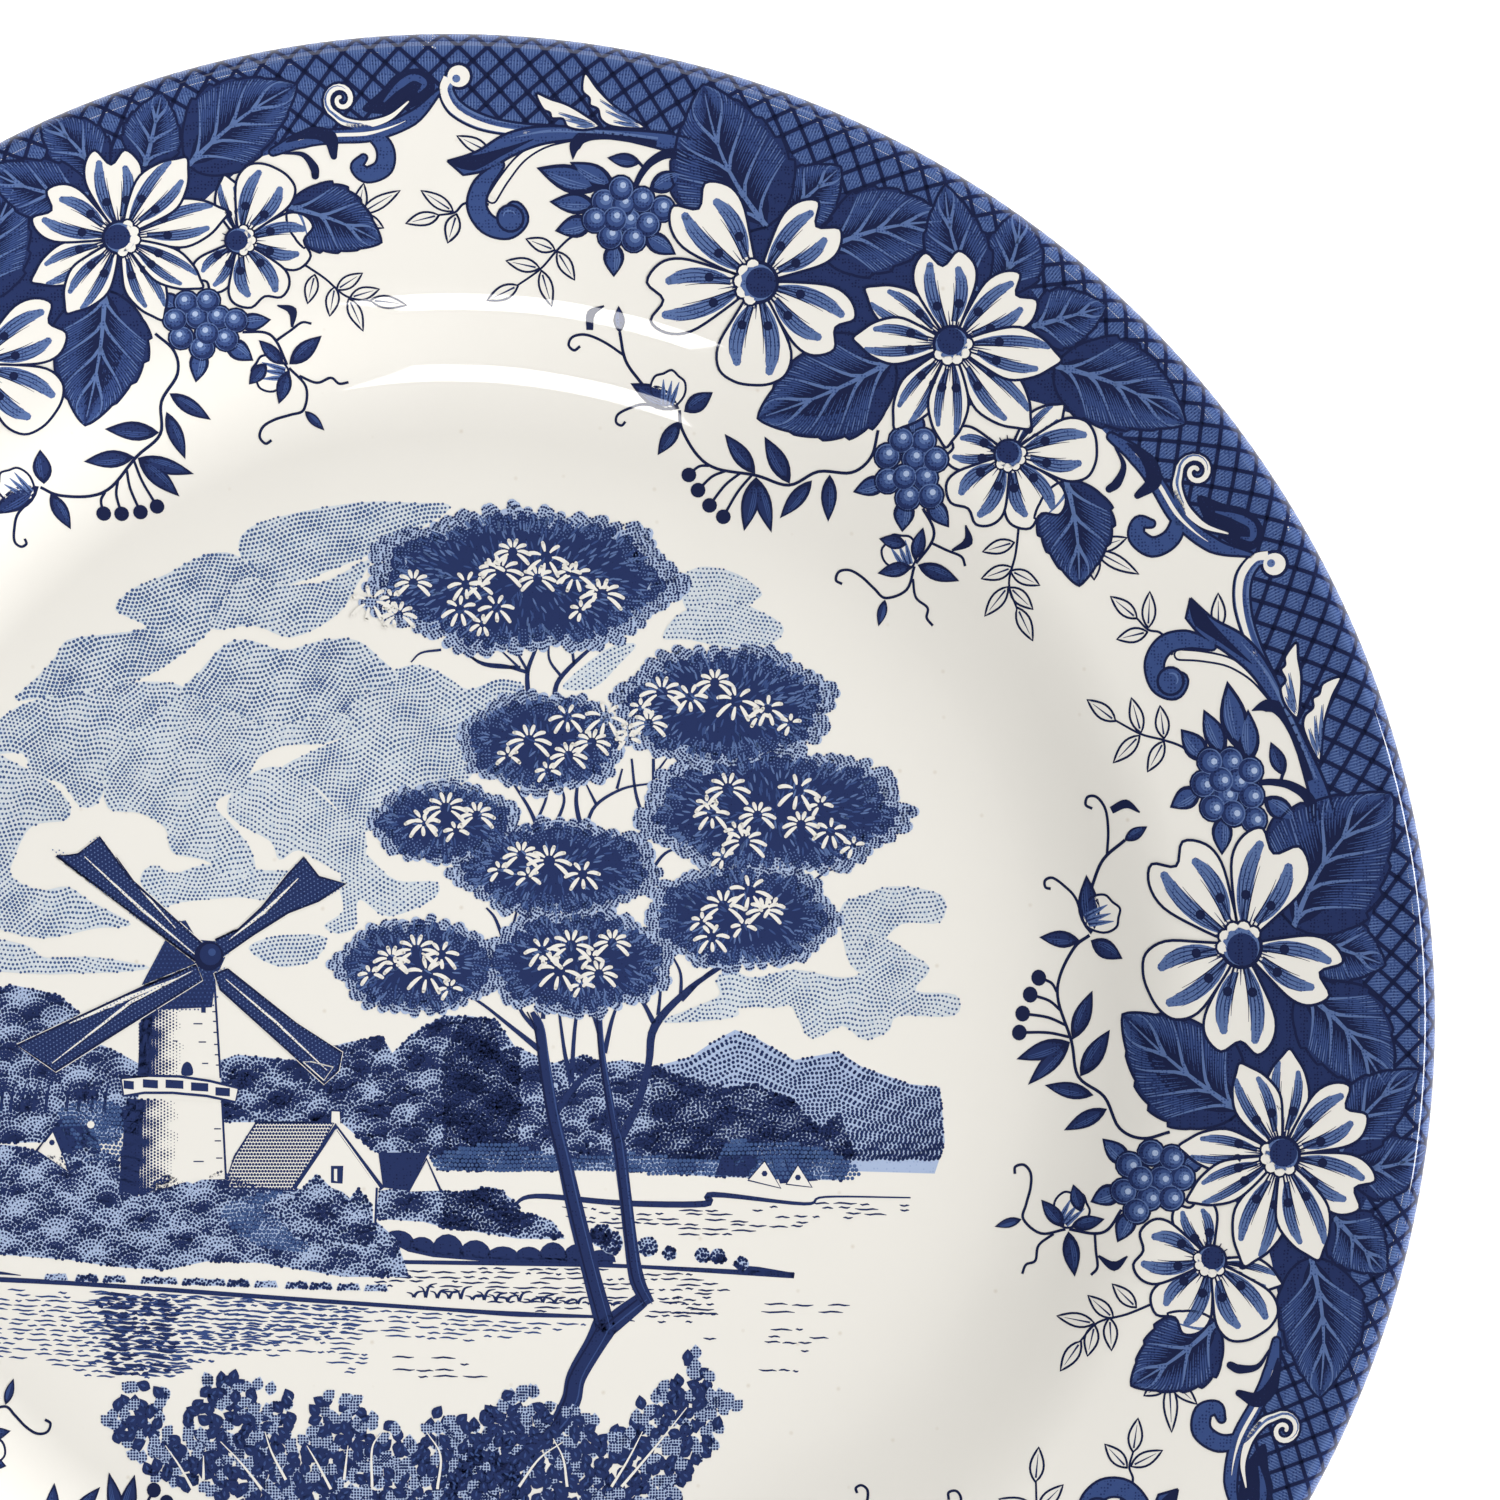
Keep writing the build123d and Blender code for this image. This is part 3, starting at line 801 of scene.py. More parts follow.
def clouds(sheet):
    """Drifts of dotted cloud on both sides of the tall tree."""
    for n, (size, wave, tilt, outline) in enumerate((
        (0.21, 0.35, 14, pts(
            "-26.5+61j -25.4+62.9j -22.5+64.1j -16.9+65j -11.4+66.1j -5.8+66.2j -0.5+65.7j "
            "-7.5+61.6j -13.1+59.3j -21.6+56.1j -25.2+57.8j"
        )),
        (0.22, 0.7, 10, pts(
            "-42.5+52.2j -40.8+54.6j -37+56.5j -32.3+59.1j -28.4+59.4j -25.4+56.9j -28+54.8j "
            "-30.6+51j -34+48j -38.7+45j -43.8+43.2j -49.3+42.2j -55.3+41.4j -52.3+44.5j "
            "-50.2+46.7j -48.5+48.9j -43.8+49.6j -39.7+50.3j"
        )),
        (0.20, 0.7, 8, pts(
            "-28+54.4j -25.4+56.5j -21.6+55.4j -16.9+55.9j -11+58.8j -12.7+55.6j -15.2+52.2j "
            "-20.3+49.8j -24.6+51j -30.1+50.5j"
        )),
        (0.20, 0.8, -12, pts(
            "-60.4+35.6j -55.3+39.7j -49.3+41.4j -43.3+42.6j -36.5+42.9j -34.2+41.4j -35.3+39j "
            "-39.9+36.9j -42.9+34.8j -44.2+31.8j -45.5+28.4j -47.6+28.1j -49.7+30.9j -53.2+31.8j "
            "-54.4+34.3j -60.4+33.9j"
        )),
        (0.21, 0.9, 0, pts(
            "-31.4+44.8j -28.4+47.8j -25.4+48.3j -21.2+46.8j -16.9+48.2j -12.7+48.4j -9.7+46.3j "
            "-7.5+43.7j -12.7+41.6j -13.9+39.4j -19.5+38.2j -25.4+37.7j -29.7+39.9j -34+41.8j"
        )),
        (0.18, 1.0, 0, pts(
            "-39.9+36.9j -34+41.1j -28.9+39.2j -23.7+37.3j -14.8+39j -13.1+36.9j -16.9+35.2j "
            "-22+34.8j -25.4+33j -27.2+30.1j -30.1+28.4j -28+25.4j -25.9+22.4j -25.4+19.4j "
            "-28+19j -31.4+21.1j -35.3+22j -36.1+25j -39.1+26.7j -43.3+27.3j -43.8+31.8j "
            "-42.5+35.2j"
        )),
        (0.19, 0.9, 20, pts(
            "-13.1+41.1j -8.8+43.3j -4.6+44.9j -1.1+43.7j 1.8+42j 5.7+43.3j 8.9+42.6j 7+40.3j "
            "3.1+39j 1.8+36.9j 2.3+31.8j -1.1+30.1j -6.3+27.3j -10.5+24.7j -13.1+26.7j "
            "-16.9+30.3j -21.2+32.2j -16.5+34.8j -12.2+36.9j"
        )),
        (0.17, 0.9, -30, pts(
            "-27.2+29.2j -25.4+30.9j -22+31.8j -18.2+29.6j -15.2+26.7j -12.7+25.4j -11.4+23.2j "
            "-11.8+20.3j -13.5+19j -16.9+20.7j -19.5+22.4j -21.6+21.1j -22.5+23.2j -26.3+25j "
            "-28+26.7j"
        )),
        (0.19, 0.9, -8, pts(
            "-61.3+33j -54.9+31.8j -51.4+29.6j -49.3+27.1j -49.7+25j -53.6+24.1j -55.3+20.7j "
            "-55.7+18.6j -52.7+17.3j -49.7+17.5j -46.8+15.6j -41.6+12.6j -45.9+12.2j -52.3+11.1j "
            "-57.8+12.2j -61.3+13.9j"
        )),
        (0.17, 0.6, 30, pts(
            "-12.7+22.4j -10.5+20.3j -7.5+17.5j -2.4+17.5j -2.9+15.4j -8.4+13.7j -11+15.6j "
            "-11.8+12.6j -13.9+11.5j -15.6+12.4j -13.1+14.3j -13.5+16.9j"
        )),
        (0.17, 0.6, 6, pts(
            "-39.1+18.1j -37.4+19.6j -34.8+18.6j -31.4+19.2j -28+19.2j -24.6+19j -20.8+18.6j "
            "-23.7+15.6j -28+16j -34+15.4j -37.4+14.5j"
        )),
        (0.18, 0.5, -5, pts(
            "-60.4+10.2j -54+9.2j -51.4+7.7j -46.8+7.9j -39.5+6.8j -42.1+6.2j -48+6.2j -52.3+6.2j "
            "-60.4+6.8j"
        )),
        (0.18, 0.3, 10, pts("-25.2+9j -22.5+10.2j -18.2+10.5j -16.5+9.9j -18.2+7.9j -21.6+7.3j")),
        (0.15, 0.4, -6, pts(
            "30.3+56.5j 32.8+57.6j 36.2+56.9j 39.4+55j 38.4+53.9j 36.2+52.9j 31.5+52.9j "
            "30.5+54.8j"
        )),
        (0.16, 0.4, -6, pts(
            "28.1+49.2j 30.7+52.2j 36.2+52.9j 39.2+52.2j 42.2+50.5j 40.9+48.6j 36.2+48.4j "
            "31.5+49j"
        )),
        (0.15, 0.3, 30, pts("15.1+42.9j 17.9+45.4j 20.5+47.3j 23.4+47.8j 20.9+45.4j 18.8+43.3j")),
        (0.17, 0.6, 0, pts(
            "50.9+13.9j 53.7+15.4j 57.1+16.4j 62.7+15.6j 62.4+12.4j 57.5+12.2j 55.4+9.6j 55+6.6j "
            "52+7.5j"
        )),
        (0.17, 0.9, -14, pts(
            "27.9-0.2j 32.8+1.8j 35.4+3.1j 35+4.9j 36.7+6.2j 39.8+5.1j 44.7+5.8j 50+4.9j "
            "52.7+6.2j 53.6+10.6j 58.9+8j 61.1+6.2j 59.3+3.6j 64.4+3.1j 64.2+0.5j 57.1+0.5j "
            "55.8-1.3j 52.7-2.2j 50-0.4j 46.5-1.8j 44.7+1.8j 42.5+1.6j 38.1+1.6j 37.6+0.5j "
            "32.8-0.2j"
        )),
    )):
        wider = outline + 0.7 * (outline - outline.mean()) / np.abs(outline - outline.mean())
        sheet.fill("pale", smooth(wider, True, 4), 2 * (n % 3))
        stipple(sheet, wider, size - 0.005, wave, swing=0.14, tilt=tilt, level=2 * (n % 3), seed=n * 1.3)


def far_land(sheet):
    """Hills, woods and the far shore on the right."""
    hills = pts(
        "26.1-6.2j 31-4.9j 33.6-3.1j 36.7-1.4j 39-2.2j 44.3-5.3j 50-4.2j 53.1-6.2j 59.3-8.4j "
        "63.1-8.8j 63.7-15.9j 62.4-19.9j 48.7-19.5j 35.4-18.6j 24.8-17.7j"
    )
    shape = np.asarray(hills)
    sheet.fill("haze", shape, 0)
    crest = shape[:10]
    for n in range(34):
        run = np.linspace(crest.real[0], crest.real[-1], 66)
        ridge = np.interp(run, crest.real, crest.imag)
        drop = n * 0.46
        share = min(1.0, n / 26)
        level_row = ridge * (1 - share) + crest.imag.min() * share
        row = run + 1j * (level_row - drop * (0.9 - 0.3 * n / 34))
        row = row + 0.1j * np.sin(run * 1.6 + 0.8 * n) + 0.25 * (n % 2) + 0.12 * np.sin(n * 2.3)
        points = row[inside(row, shape)]
        sheet.dots("dark", points, 0.225 + 0.02 * noise(points, 5), 1, 6)
    for outline, size, seed, dot in (
        (pts(
            "-0.9-19.5j -0.9-4.4j 1.8+0.5j 5.3+0j 6.6-4j 8.9-3.7j 13.3-5.7j 17.3-4.6j 19.5-5.7j "
            "22.1-5.3j 24.8-5.7j 31-7.5j 35.4-8.8j 39.8-8.4j 44.3-10.6j 47.8-14.2j 50-11.9j "
            "52.2-17.7j 50.5-20.8j 33.6-20.3j 22.1-19.5j 8.9-19.5j"
        ), 2.2, 3, 0.215),
        (pts(
            "-29.5-13.3j -29.5-5.3j -27.3-4.6j -24.2-4.9j -20.2-5.3j -13.6-3.1j -8.7-2.2j "
            "-7.4-4.4j -4.7-1.8j -0.7+0.5j 5.9+0j 9-4.4j 9-19.5j -1.6-19.5j -3-17.2j -9.6-17.2j "
            "-14-13.3j"
        ), 2.0, 4, 0.225),
    ):
        puffs(sheet, outline, size, seed, 0, dot=dot, shade=0.45)
    dark_band = pts(
        "-0.9-19.5j -0.9-17.2j 7.1-15.9j 14.6-17.7j 23-17.2j 33.6-18.1j 35.4-15.9j 40.7-15.7j "
        "48.3-16.8j 53.1-20.3j 44.3-20.6j 33.6-20.3j 14.6-19.5j"
    )
    stipple(sheet, dark_band, 0.26, wave=0.1, swing=0.15, level=1)
    for roof, gable in (
        (pts("35-17.7j 40.5-17.5j 38.5-20.3j 34.1-20.1j"), pts("40.5-18.4j 38.5-20.7j 42.5-21.7j")),
        (pts("41.2-17.7j 44.7-17.7j 47.4-20.8j 42.5-21.2j"), pts("44.8-18.9j 43.4-21.2j 46.5-21.6j")),
    ):
        sheet.fill("dark", roof, 2)
        sheet.edge("dark", gable, 0.5, 2)
        sheet.fill("bare", gable, 3)
        sheet.dots("dark", gable[0] - 1.5j, 0.4, 4, 6)
    line = smooth(pts("8-24.1j 11.1-22.8j 22.1-23.7j 32.8-23.8j 33.9-22.6j 45.6-23.8j 48.3-22.9j 59.3-23j"))
    sheet.stroke("dark", line, [0.3, 0.7, 0.8, 0.9, 0.5, 0.3, 0.2], 1)
    dashes(sheet, pts(
        "10.2-24.1j 33.6-24.1j 59.3-23.2j 61.5-24.3j 53.1-25.7j 44.3-27j 35.4-27.9j "
        "24.8-27.9j 16.8-26.1j"
    ), 11, 0.6, slope=-0.02)
    puffs(sheet, pts(
        "-0.9-22.1j 1.3-22.3j 4.9-21.6j 7.1-22.1j 7.5-24.8j 11.1-25.2j 13.3-26.1j 14.8-28.3j "
        "8.9-28.3j 3.5-27.4j -0.9-26.5j"
    ), 1.2, 7, 1, dot=0.2)
    puffs(sheet, pts(
        "-9.6-25.7j -9.1-22.1j -5.6-21.7j -3.4-21.7j 1-22.3j 5.9-21.7j 9-23.9j 9-27.9j "
        "4.1-27.4j -0.3-27j -3.4-26.1j"
    ), 1.3, 8, 1, dot=0.2)
    for clump, size in ((pts("19.5-27.9j 20.8-28.8j"), 1.5), (pts("25.5-29.3j"), 1.3),
        (pts("28.3-30.2j"), 0.9), (pts("32.5-30.4j 34.5-30.5j"), 1.0), (pts("37.6-31.5j"), 0.9)):
        for spot in clump:
            puffs(sheet, spot + polar(size, np.arange(0, 360, 30)), size * 0.7, 9, 1, dot=0.24)
    bank = pts(
        "-8.3-28j -5.2-29.6j -2.1-30.3j 1.5-30.6j 5-30.9j 8.6-31j 11.7-31j 14.8-31.1j "
        "17.9-31.2j 21-31.3j"
    )
    for n, (foot, following) in enumerate(zip(bank[:-1], bank[1:])):
        rise = 0.75 + 0.5 * sin(n * 2.4) ** 2
        middle = (foot + following) / 2
        arch = (following - foot) * 0.62 * polar(1.0, np.linspace(180, 0, 9)) + middle
        sheet.fill("dark", arch.real + 1j * (middle.imag + (arch.imag - middle.imag) * rise), 1)
    sheet.stroke("dark", bank, [0.8, 0.5], 1)
    sheet.stroke("dark", pts("-12.4-31.2j 16.8-31.6j 24.8-31.9j 44.3-33j"), [0.5, 0.6, 0.5, 0.8], 1)
    sheet.fill("dark", pts("36.3-31.6j 39.8-31.9j 44.4-32.7j 44.3-33.3j 37.6-32.7j"), 1)
    dashes(sheet, pts(
        "-11.5-32.1j 16.8-32.1j 28.3-32.5j 38.1-33.6j 35.4-35.4j 35-38.1j 27.4-38.1j "
        "24.8-36.3j 13.3-38.1j 6.2-36.7j -3.5-34.7j -8.9-34.7j"
    ), 12, 0.8, slope=-0.01)
    dashes(sheet, pts("26.6-35.8j 35.4-35.8j 35.4-39.4j 28.3-39.4j 20.4-38.9j"), 17, 0.6, slope=-0.02)
    dashes(sheet, pts("37.2-37.2j 44.7-35.8j 54-36.1j 52.7-38.1j 42.1-38.5j"), 13, 0.6, gap=0.9, longest=4.5,
        slope=-0.01)
    dashes(sheet, pts("41.2-39.4j 47.8-39.4j 51.4-40.7j 48.7-42.9j 42.5-43.4j 39-42j"), 14, 0.6, gap=0.9,
        longest=4.0, slope=-0.03)
    dashes(sheet, pts("31.9-40j 37.2-40.7j 37.6-42.9j 35-42.5j 31-40.7j"), 15, 0.7, gap=0.9, slope=-0.05)
    dashes(sheet, pts("35-44.3j 39.8-44.7j 46.9-44.9j 45.2-46.5j 39.8-45.8j"), 16, 0.8, gap=0.8, longest=3.5,
        slope=-0.05)


def near_bank(sheet):
    """The near shore on the left, with its bushes, the river and what it mirrors."""
    puffs(sheet, pts(
        "-60.5-5.7j -60.5+3.1j -56.5+4.4j -53.4+3.8j -50.3+3.1j -47.7+0.9j -47.7-2.2j "
        "-43.2-4j -40.1-5.7j -40.1-10.6j -42.8-15.9j -52.5-15.9j -60.5-15.9j"
    ), 2.4, 21, 0, dot=0.20, shade=0.4)
    for x in (-57.8, -56.56, -55.14, -53.59, -52.04, -49.38, -47.83, -46.19, -44.51):
        foot = x - 11.9j
        sheet.stroke("dark", smooth([foot, foot + 0.3 + 2.4j, foot + 0.8 + 4.2j]), [0.5, 0.35, 0.1], 2)
        sheet.stroke("dark", smooth([foot + 0.3 + 1.6j, foot - 0.4 + 2.8j, foot - 0.8 + 3.9j]), [0.3, 0.1], 2)
    stipple(sheet, pts("-50.3-11.9j -46.3-10.6j -42.6-11.1j -42.3-17.7j -46.8-18.1j -49-15.9j"), 0.25,
        wave=0.2, swing=0.1, level=1)
    sheet.fill("dark", pts("-51.2-13.9j -45.9-13.7j -44.6-17.7j -48.8-19.7j"), 2)
    sheet.fill("bare", pts("-51.1-14.6j -52.9-17j -49-19.7j"), 3)
    sheet.edge("dark", pts("-51.1-14.2j -53.2-17j -48.8-19.9j"), 0.3, 4)
    sheet.dots("dark", -51.2 - 15.9j, 0.38, 4, 8)
    sheet.dots("bare", -46.2 - 13.6j, 0.5, 3, 8)
    puffs(sheet, pts(
        "-60.5-15.9j -55.2-16.4j -51.2-17.7j -46.3-16.4j -42.8-17.7j -41.9-22.1j -39.7-22.6j "
        "-36.6-19.9j -33.1-21.2j -29.5-19.5j -24.2-21.7j -20.7-22.1j -18-19.9j -14-22.1j "
        "-10.9-24.8j -6.9-28.3j -5.2-33.2j -13.6-33.2j -24.2-31.4j -31.3-31.2j -36.6-32.3j "
        "-43.2-31.9j -49-31j -60.5-30.1j"
    ), 1.9, 22, 2, dot=0.18, shade=0.5)
    stipple(sheet, pts(
        "-29.5-24.8j -26.9-27.9j -22.9-29.6j -18-30.1j -20.2-26.5j -24.2-24.3j -21.5-22.1j "
        "-26.9-23j"
    ), 0.25, wave=0.3, swing=0.2, level=3)
    for x in (-50.71, -46.72, -43.18, -38.31, -36.54, -32.99, -30.33, -27.23, -23.69, -19.7, -16.6, -13.06,
        -9.51):
        spot = x - 1j * (35.36 + 0.0339 * x)
        puffs(sheet, spot + 1.6 * np.array([-1, 1, 0.8 + 0.55j, -0.8 + 0.5j]), 0.8, 23, 2, dot=0.19)
    shore = pts("-60.5-33.4j -49-34j -34.4-35j -18-36.2j -0.3-37.4j 9-38j 21.8-38.4j")
    sheet.stroke("dark", smooth(shore), [0.7, 0.6, 0.6, 0.6, 0.5, 0.7, 0.3], 2)
    sheet.stroke("dark", smooth(pts("-60.5-32.5j -57.8-32.7j -55.2-33j")), [0.4, 0.4, 0.1], 2)
    water = pts(
        "-60.5-34.7j -49-34.7j -34.4-35.6j -18-36.7j -0.3-37.8j 9-38.5j 20.1-39.2j 13-40.7j "
        "1-41.6j -10-40.7j -9.1-43.4j -11.4-46.5j -18-43.8j -29.5-43.4j -35.7-46.5j "
        "-47.2-46.5j -53.9-44.3j -60.5-43.8j"
    )
    dashes(sheet, water, 31, 0.78, slope=-0.045, level=0, tone="mid")
    dashes(sheet, pts(
        "-46.8-34.7j -33.1-35.6j -10-36.9j -11.4-40.7j -26.9-42.9j -34.8-46j -46.3-45.8j "
        "-47.7-39.8j"
    ), 32, 0.85, width=0.3, gap=0.55, slope=-0.045, level=1, tone="mid")
    dashes(sheet, pts("-46.3-35j -33.9-35.8j -33.9-41.2j -35.7-46j -44.6-45.6j -45.4-39.8j"), 33, 0.95,
        width=0.42, gap=0.6, slope=-0.05, level=2)
    dashes(sheet, pts("-7.8-42j -4.3-42.3j 6.8-44.5j 5.9-46j -2.1-46.7j -7.4-46.5j"), 34, 0.6, gap=0.8,
        slope=-0.02)
    for n in range(18):
        foot = -4.64 - 35.8j + (1.506 - 0.0612j) * n
        rise = (1.7 - 0.07 * n) * (0.45 + 0.75 * sin(n * 1.9) ** 2)
        sheet.stroke("dark", smooth([foot, foot + 0.5 + 0.8j * rise, foot + 1.5 + 1j * rise]),
            [0.45, 0.3, 0.1], 2)
        sheet.stroke("dark", smooth([foot, foot - 0.3 + 0.6j * rise, foot - 0.9 + 0.8j * rise]), [0.35, 0.1],
            2)


def houses(sheet):
    """The barn and cottages beside the mill."""
    roof = pts("-24.9-13.3j -14.9-13.3j -19.8-22.1j -29.1-21.7j -27.7-17.7j")
    sheet.fill("bare", roof, 3)
    for n, y in enumerate(np.arange(roof[2].imag + 0.3, roof[0].imag, 0.44)):
        x = np.arange(roof[3].real, roof[1].real, 0.4) + 0.2 * (n % 2)
        points = x + 1j * y
        sheet.dots("dark", points[inside(points, np.asarray(roof))], 0.20, 4, 6)
    sheet.edge("dark", roof, 0.25, 4)
    gable = pts("-14.4-14.2j -9.4-21.2j -9.6-26.5j -13.6-22.3j -16.7-21.2j -18.9-22.1j -19.7-21.7j")
    sheet.fill("bare", gable, 5)
    sheet.stroke("dark", pts("-20-21.9j -14.7-13.8j -8.7-21.9j"), 0.75, 6)
    sheet.stroke("bare", pts("-19.6-21.8j -14.5-14.2j -9.1-21.8j"), 0.22, 7)
    sheet.stroke("dark", pts("-9.4-21.7j -9.6-26.5j"), 0.3, 6)
    sheet.fill("bare", pts("-15.3-13.3j -15.3-11.9j -14.2-11.9j -14.1-13.5j"), 5)
    sheet.stroke("dark", pts("-15.4-13.5j -15.3-11.8j -14-11.8j"), 0.28, 6)
    sheet.fill("dark", pts("-15.3-18.9j -13.7-18.9j -13.8-21.2j -15.3-21.1j"), 6)
    sheet.fill("bare", pts("-14.9-19.3j -14.5-19.3j -14.5-20.9j -14.9-20.8j"), 7)
    puffs(sheet, pts(
        "-22.4-24.8j -19.3-22.1j -17.1-19.9j -15.3-21.7j -13.1-23.4j -11.8-21.7j -10-23.9j "
        "-9.8-26.5j -6.9-29.2j -13.6-29.2j -19.8-28.3j"
    ), 1.0, 24, 6, dot=0.2)
    sheet.fill("dark", pts("-9.2-17.2j -2.7-17.2j -5.4-22.1j -8.6-21.7j"), 4)
    sheet.fill("bare", pts("-3-18.4j -1.3-22.1j -5.2-22.2j"), 5)
    sheet.stroke("dark", pts("-5.4-22.3j -3-18j -1.1-22.3j"), 0.35, 6)


def windmill(sheet):
    """The tower mill with its gallery and four sails."""
    upper = pts("-39.5+4.5j -30.3+5j -29.5-7.6j -40.2-7.6j")
    lower = pts("-41.6-10.2j -29.3-10.8j -28.8-20.6j -33.1-20.7j -40.1-22.8j -42.6-22.1j")
    for wall in (upper, lower):
        sheet.fill("bare", wall, 3)
        left, right = wall[-1].real, wall[1].real
        shape = np.asarray(wall)
        for n, x in enumerate(np.arange(left, right, 0.42)):
            share = (x - left) / (right - left)
            column = x + 1j * (np.arange(shape.imag.min(), shape.imag.max(), 0.42) + 0.2 * (n % 2))
            wobble = 0.07 * noise(column, 5.0)
            radius = 0.34 * np.clip(1 - 1.75 * (share + wobble - 0.08), 0, 0.85)
            keep = inside(column, shape) & (radius > 0.06)
            sheet.dots("dark", column[keep], radius[keep], 4, 6)
    sheet.fill("dark", pts("-39.5+4.5j -37.9+4.6j -38.7-7.6j -40.2-7.6j"), 4)
    sheet.fill("dark", pts("-41.6-10.2j -39.3-10.4j -40.1-22.8j -42.6-22.1j"), 4)
    sheet.stroke("dark", pts("-30.3+5j -29.5-7.6j"), 0.28, 5)
    sheet.stroke("dark", pts("-29.3-10.8j -28.8-20.6j"), 0.28, 5)
    for spot, run in (
        (-32.99-0.62j, 1.15), (-32.33-2.97j, 0.97), (-31.88-5.72j, 0.8), (-30.56+0.93j, 0.53),
        (-30.47-0.31j, 0.53), (-30.42-1.73j, 0.53), (-30.33-3.28j, 0.53), (-30.25-4.61j, 0.53),
        (-30.11-5.94j, 0.53), (-32.99-18.34j, 1.33), (-30.33-14.14j, 0.89), (-30.25-15.69j, 0.8),
        (-30.07-17.9j, 0.8), (-35.65-2.84j, 0.62),
    ):
        sheet.stroke("dark", [spot, spot + run], 0.16, 5)
    sheet.fill("dark", pts("-32+2.2j -31.4+2.2j -31.4+0.8j -32+0.8j"), 5)
    sheet.fill("dark", smooth(pts("-34.5-7.2j -34.4-6j -33.8-5.5j -33.2-6j -33.1-7.2j"), True, 3), 5)
    gallery = pts(
        "-42.3-7.6j -38.8-7.3j -34.8-7.4j -30.8-8j -27.2-8.9j -27.6-10.7j -31.3-9.9j "
        "-35.7-9.5j -39.3-9.5j -42-9.9j"
    )
    sheet.fill("bare", gallery, 6)
    sheet.edge("dark", gallery, 0.34, 7)
    for spot, half in ((-41.32-8.47j, 0.66), (-38.53-8.33j, 0.97), (-35.43-8.38j, 1.15), (-32.19-8.73j, 1.11),
        (-29.23-9.35j, 0.93)):
        panel = spot + np.array([-half - 0.49j, half - 0.62j, half + 0.44j, -half + 0.58j])
        sheet.fill("dark", panel, 7)
    cap = pts(
        "-39.6+4.5j -37+9.4j -35.3+12.4j -34+12.7j -32.5+10.2j -30.1+10j -28.9+7.9j "
        "-30.1+5.3j -30.6+1.5j -39.5+1.1j -39.7+2.8j"
    )
    sheet.fill("dark", cap, 5)
    stipple(sheet, cap, 0.12, wave=0, swing=0, tone="mid", level=6)
    hub_centre = -31 + 8.1j
    sails = (
        pts("-32.7+7.5j -50.6+21j -47.8+21.2j -45.1+23.4j -41.2+18.1j -31.4+9.2j"),
        pts(
            "-30.1+10.2j -27.2+11.5j -24.2+14.3j -20.8+18.6j -18.8+20.8j -16.9+18.3j -13.4+17.4j "
            "-16.9+15.2j -20.8+13.7j -25.4+10.8j -29.5+7.9j"
        ),
        pts("-32.6+6.9j -39.3+4.2j -55.6-3.4j -51.6-6j -50.8-6.7j -39.3+0.5j -31.9+5.1j"),
        pts(
            "-30.2+5.8j -28.6+6.4j -19.8-0.6j -13.9-4.4j -14.4-6.6j -16.1-8.3j -22.4-2.6j "
            "-29.5+3.8j"
        ),
    )
    for n, sail in enumerate(sails):
        sheet.edge("bare", sail, 0.5, 7)
        sheet.fill("dark", sail, 8)
        stipple(sheet, sail, 0.10, wave=0, swing=0, tilt=30, tone="light", level=9, pitch=0.5)
        sheet.edge("deep", sail, 0.3, 10)
    for rail, width in (
        (pts("-32.3+7.9j -39.9+14.3j -47+20.9j"), 0.42), (pts("-35.3+11.7j -39.5+16.4j -42.9+21.1j"), 0.3),
        (pts("-28.4+10.2j -23.7+13.9j -19.5+18.1j"), 0.5),
        (pts("-33.1+6.2j -41+2.2j -51.2-5.7j"), 0.4), (pts("-34.4+5.5j -43.2+2j -49-0.6j"), 0.7),
        (pts("-28.8+5.1j -22.4-0.4j -15.8-6.6j"), 0.35),
    ):
        sheet.stroke("bare", rail, [0.1, width, 0.1], 9)
        sheet.stroke("deep", np.asarray(rail) - 0.3j, [0.1, 0.2, 0.1], 9)
    sheet.edge("bare", pts("-17.8-5.5j -15-6.2j -16.2-7.9j -18.9-5.5j"), 0.16, 10)
    sheet.dots("deep", hub_centre, 1.9, 11, 18)
    sheet.dots("dark", hub_centre + 0.2 + 0.2j, 1.4, 12, 16)
    sheet.dots("mid", hub_centre + 0.4 + 0.5j, 0.5, 13, 10)


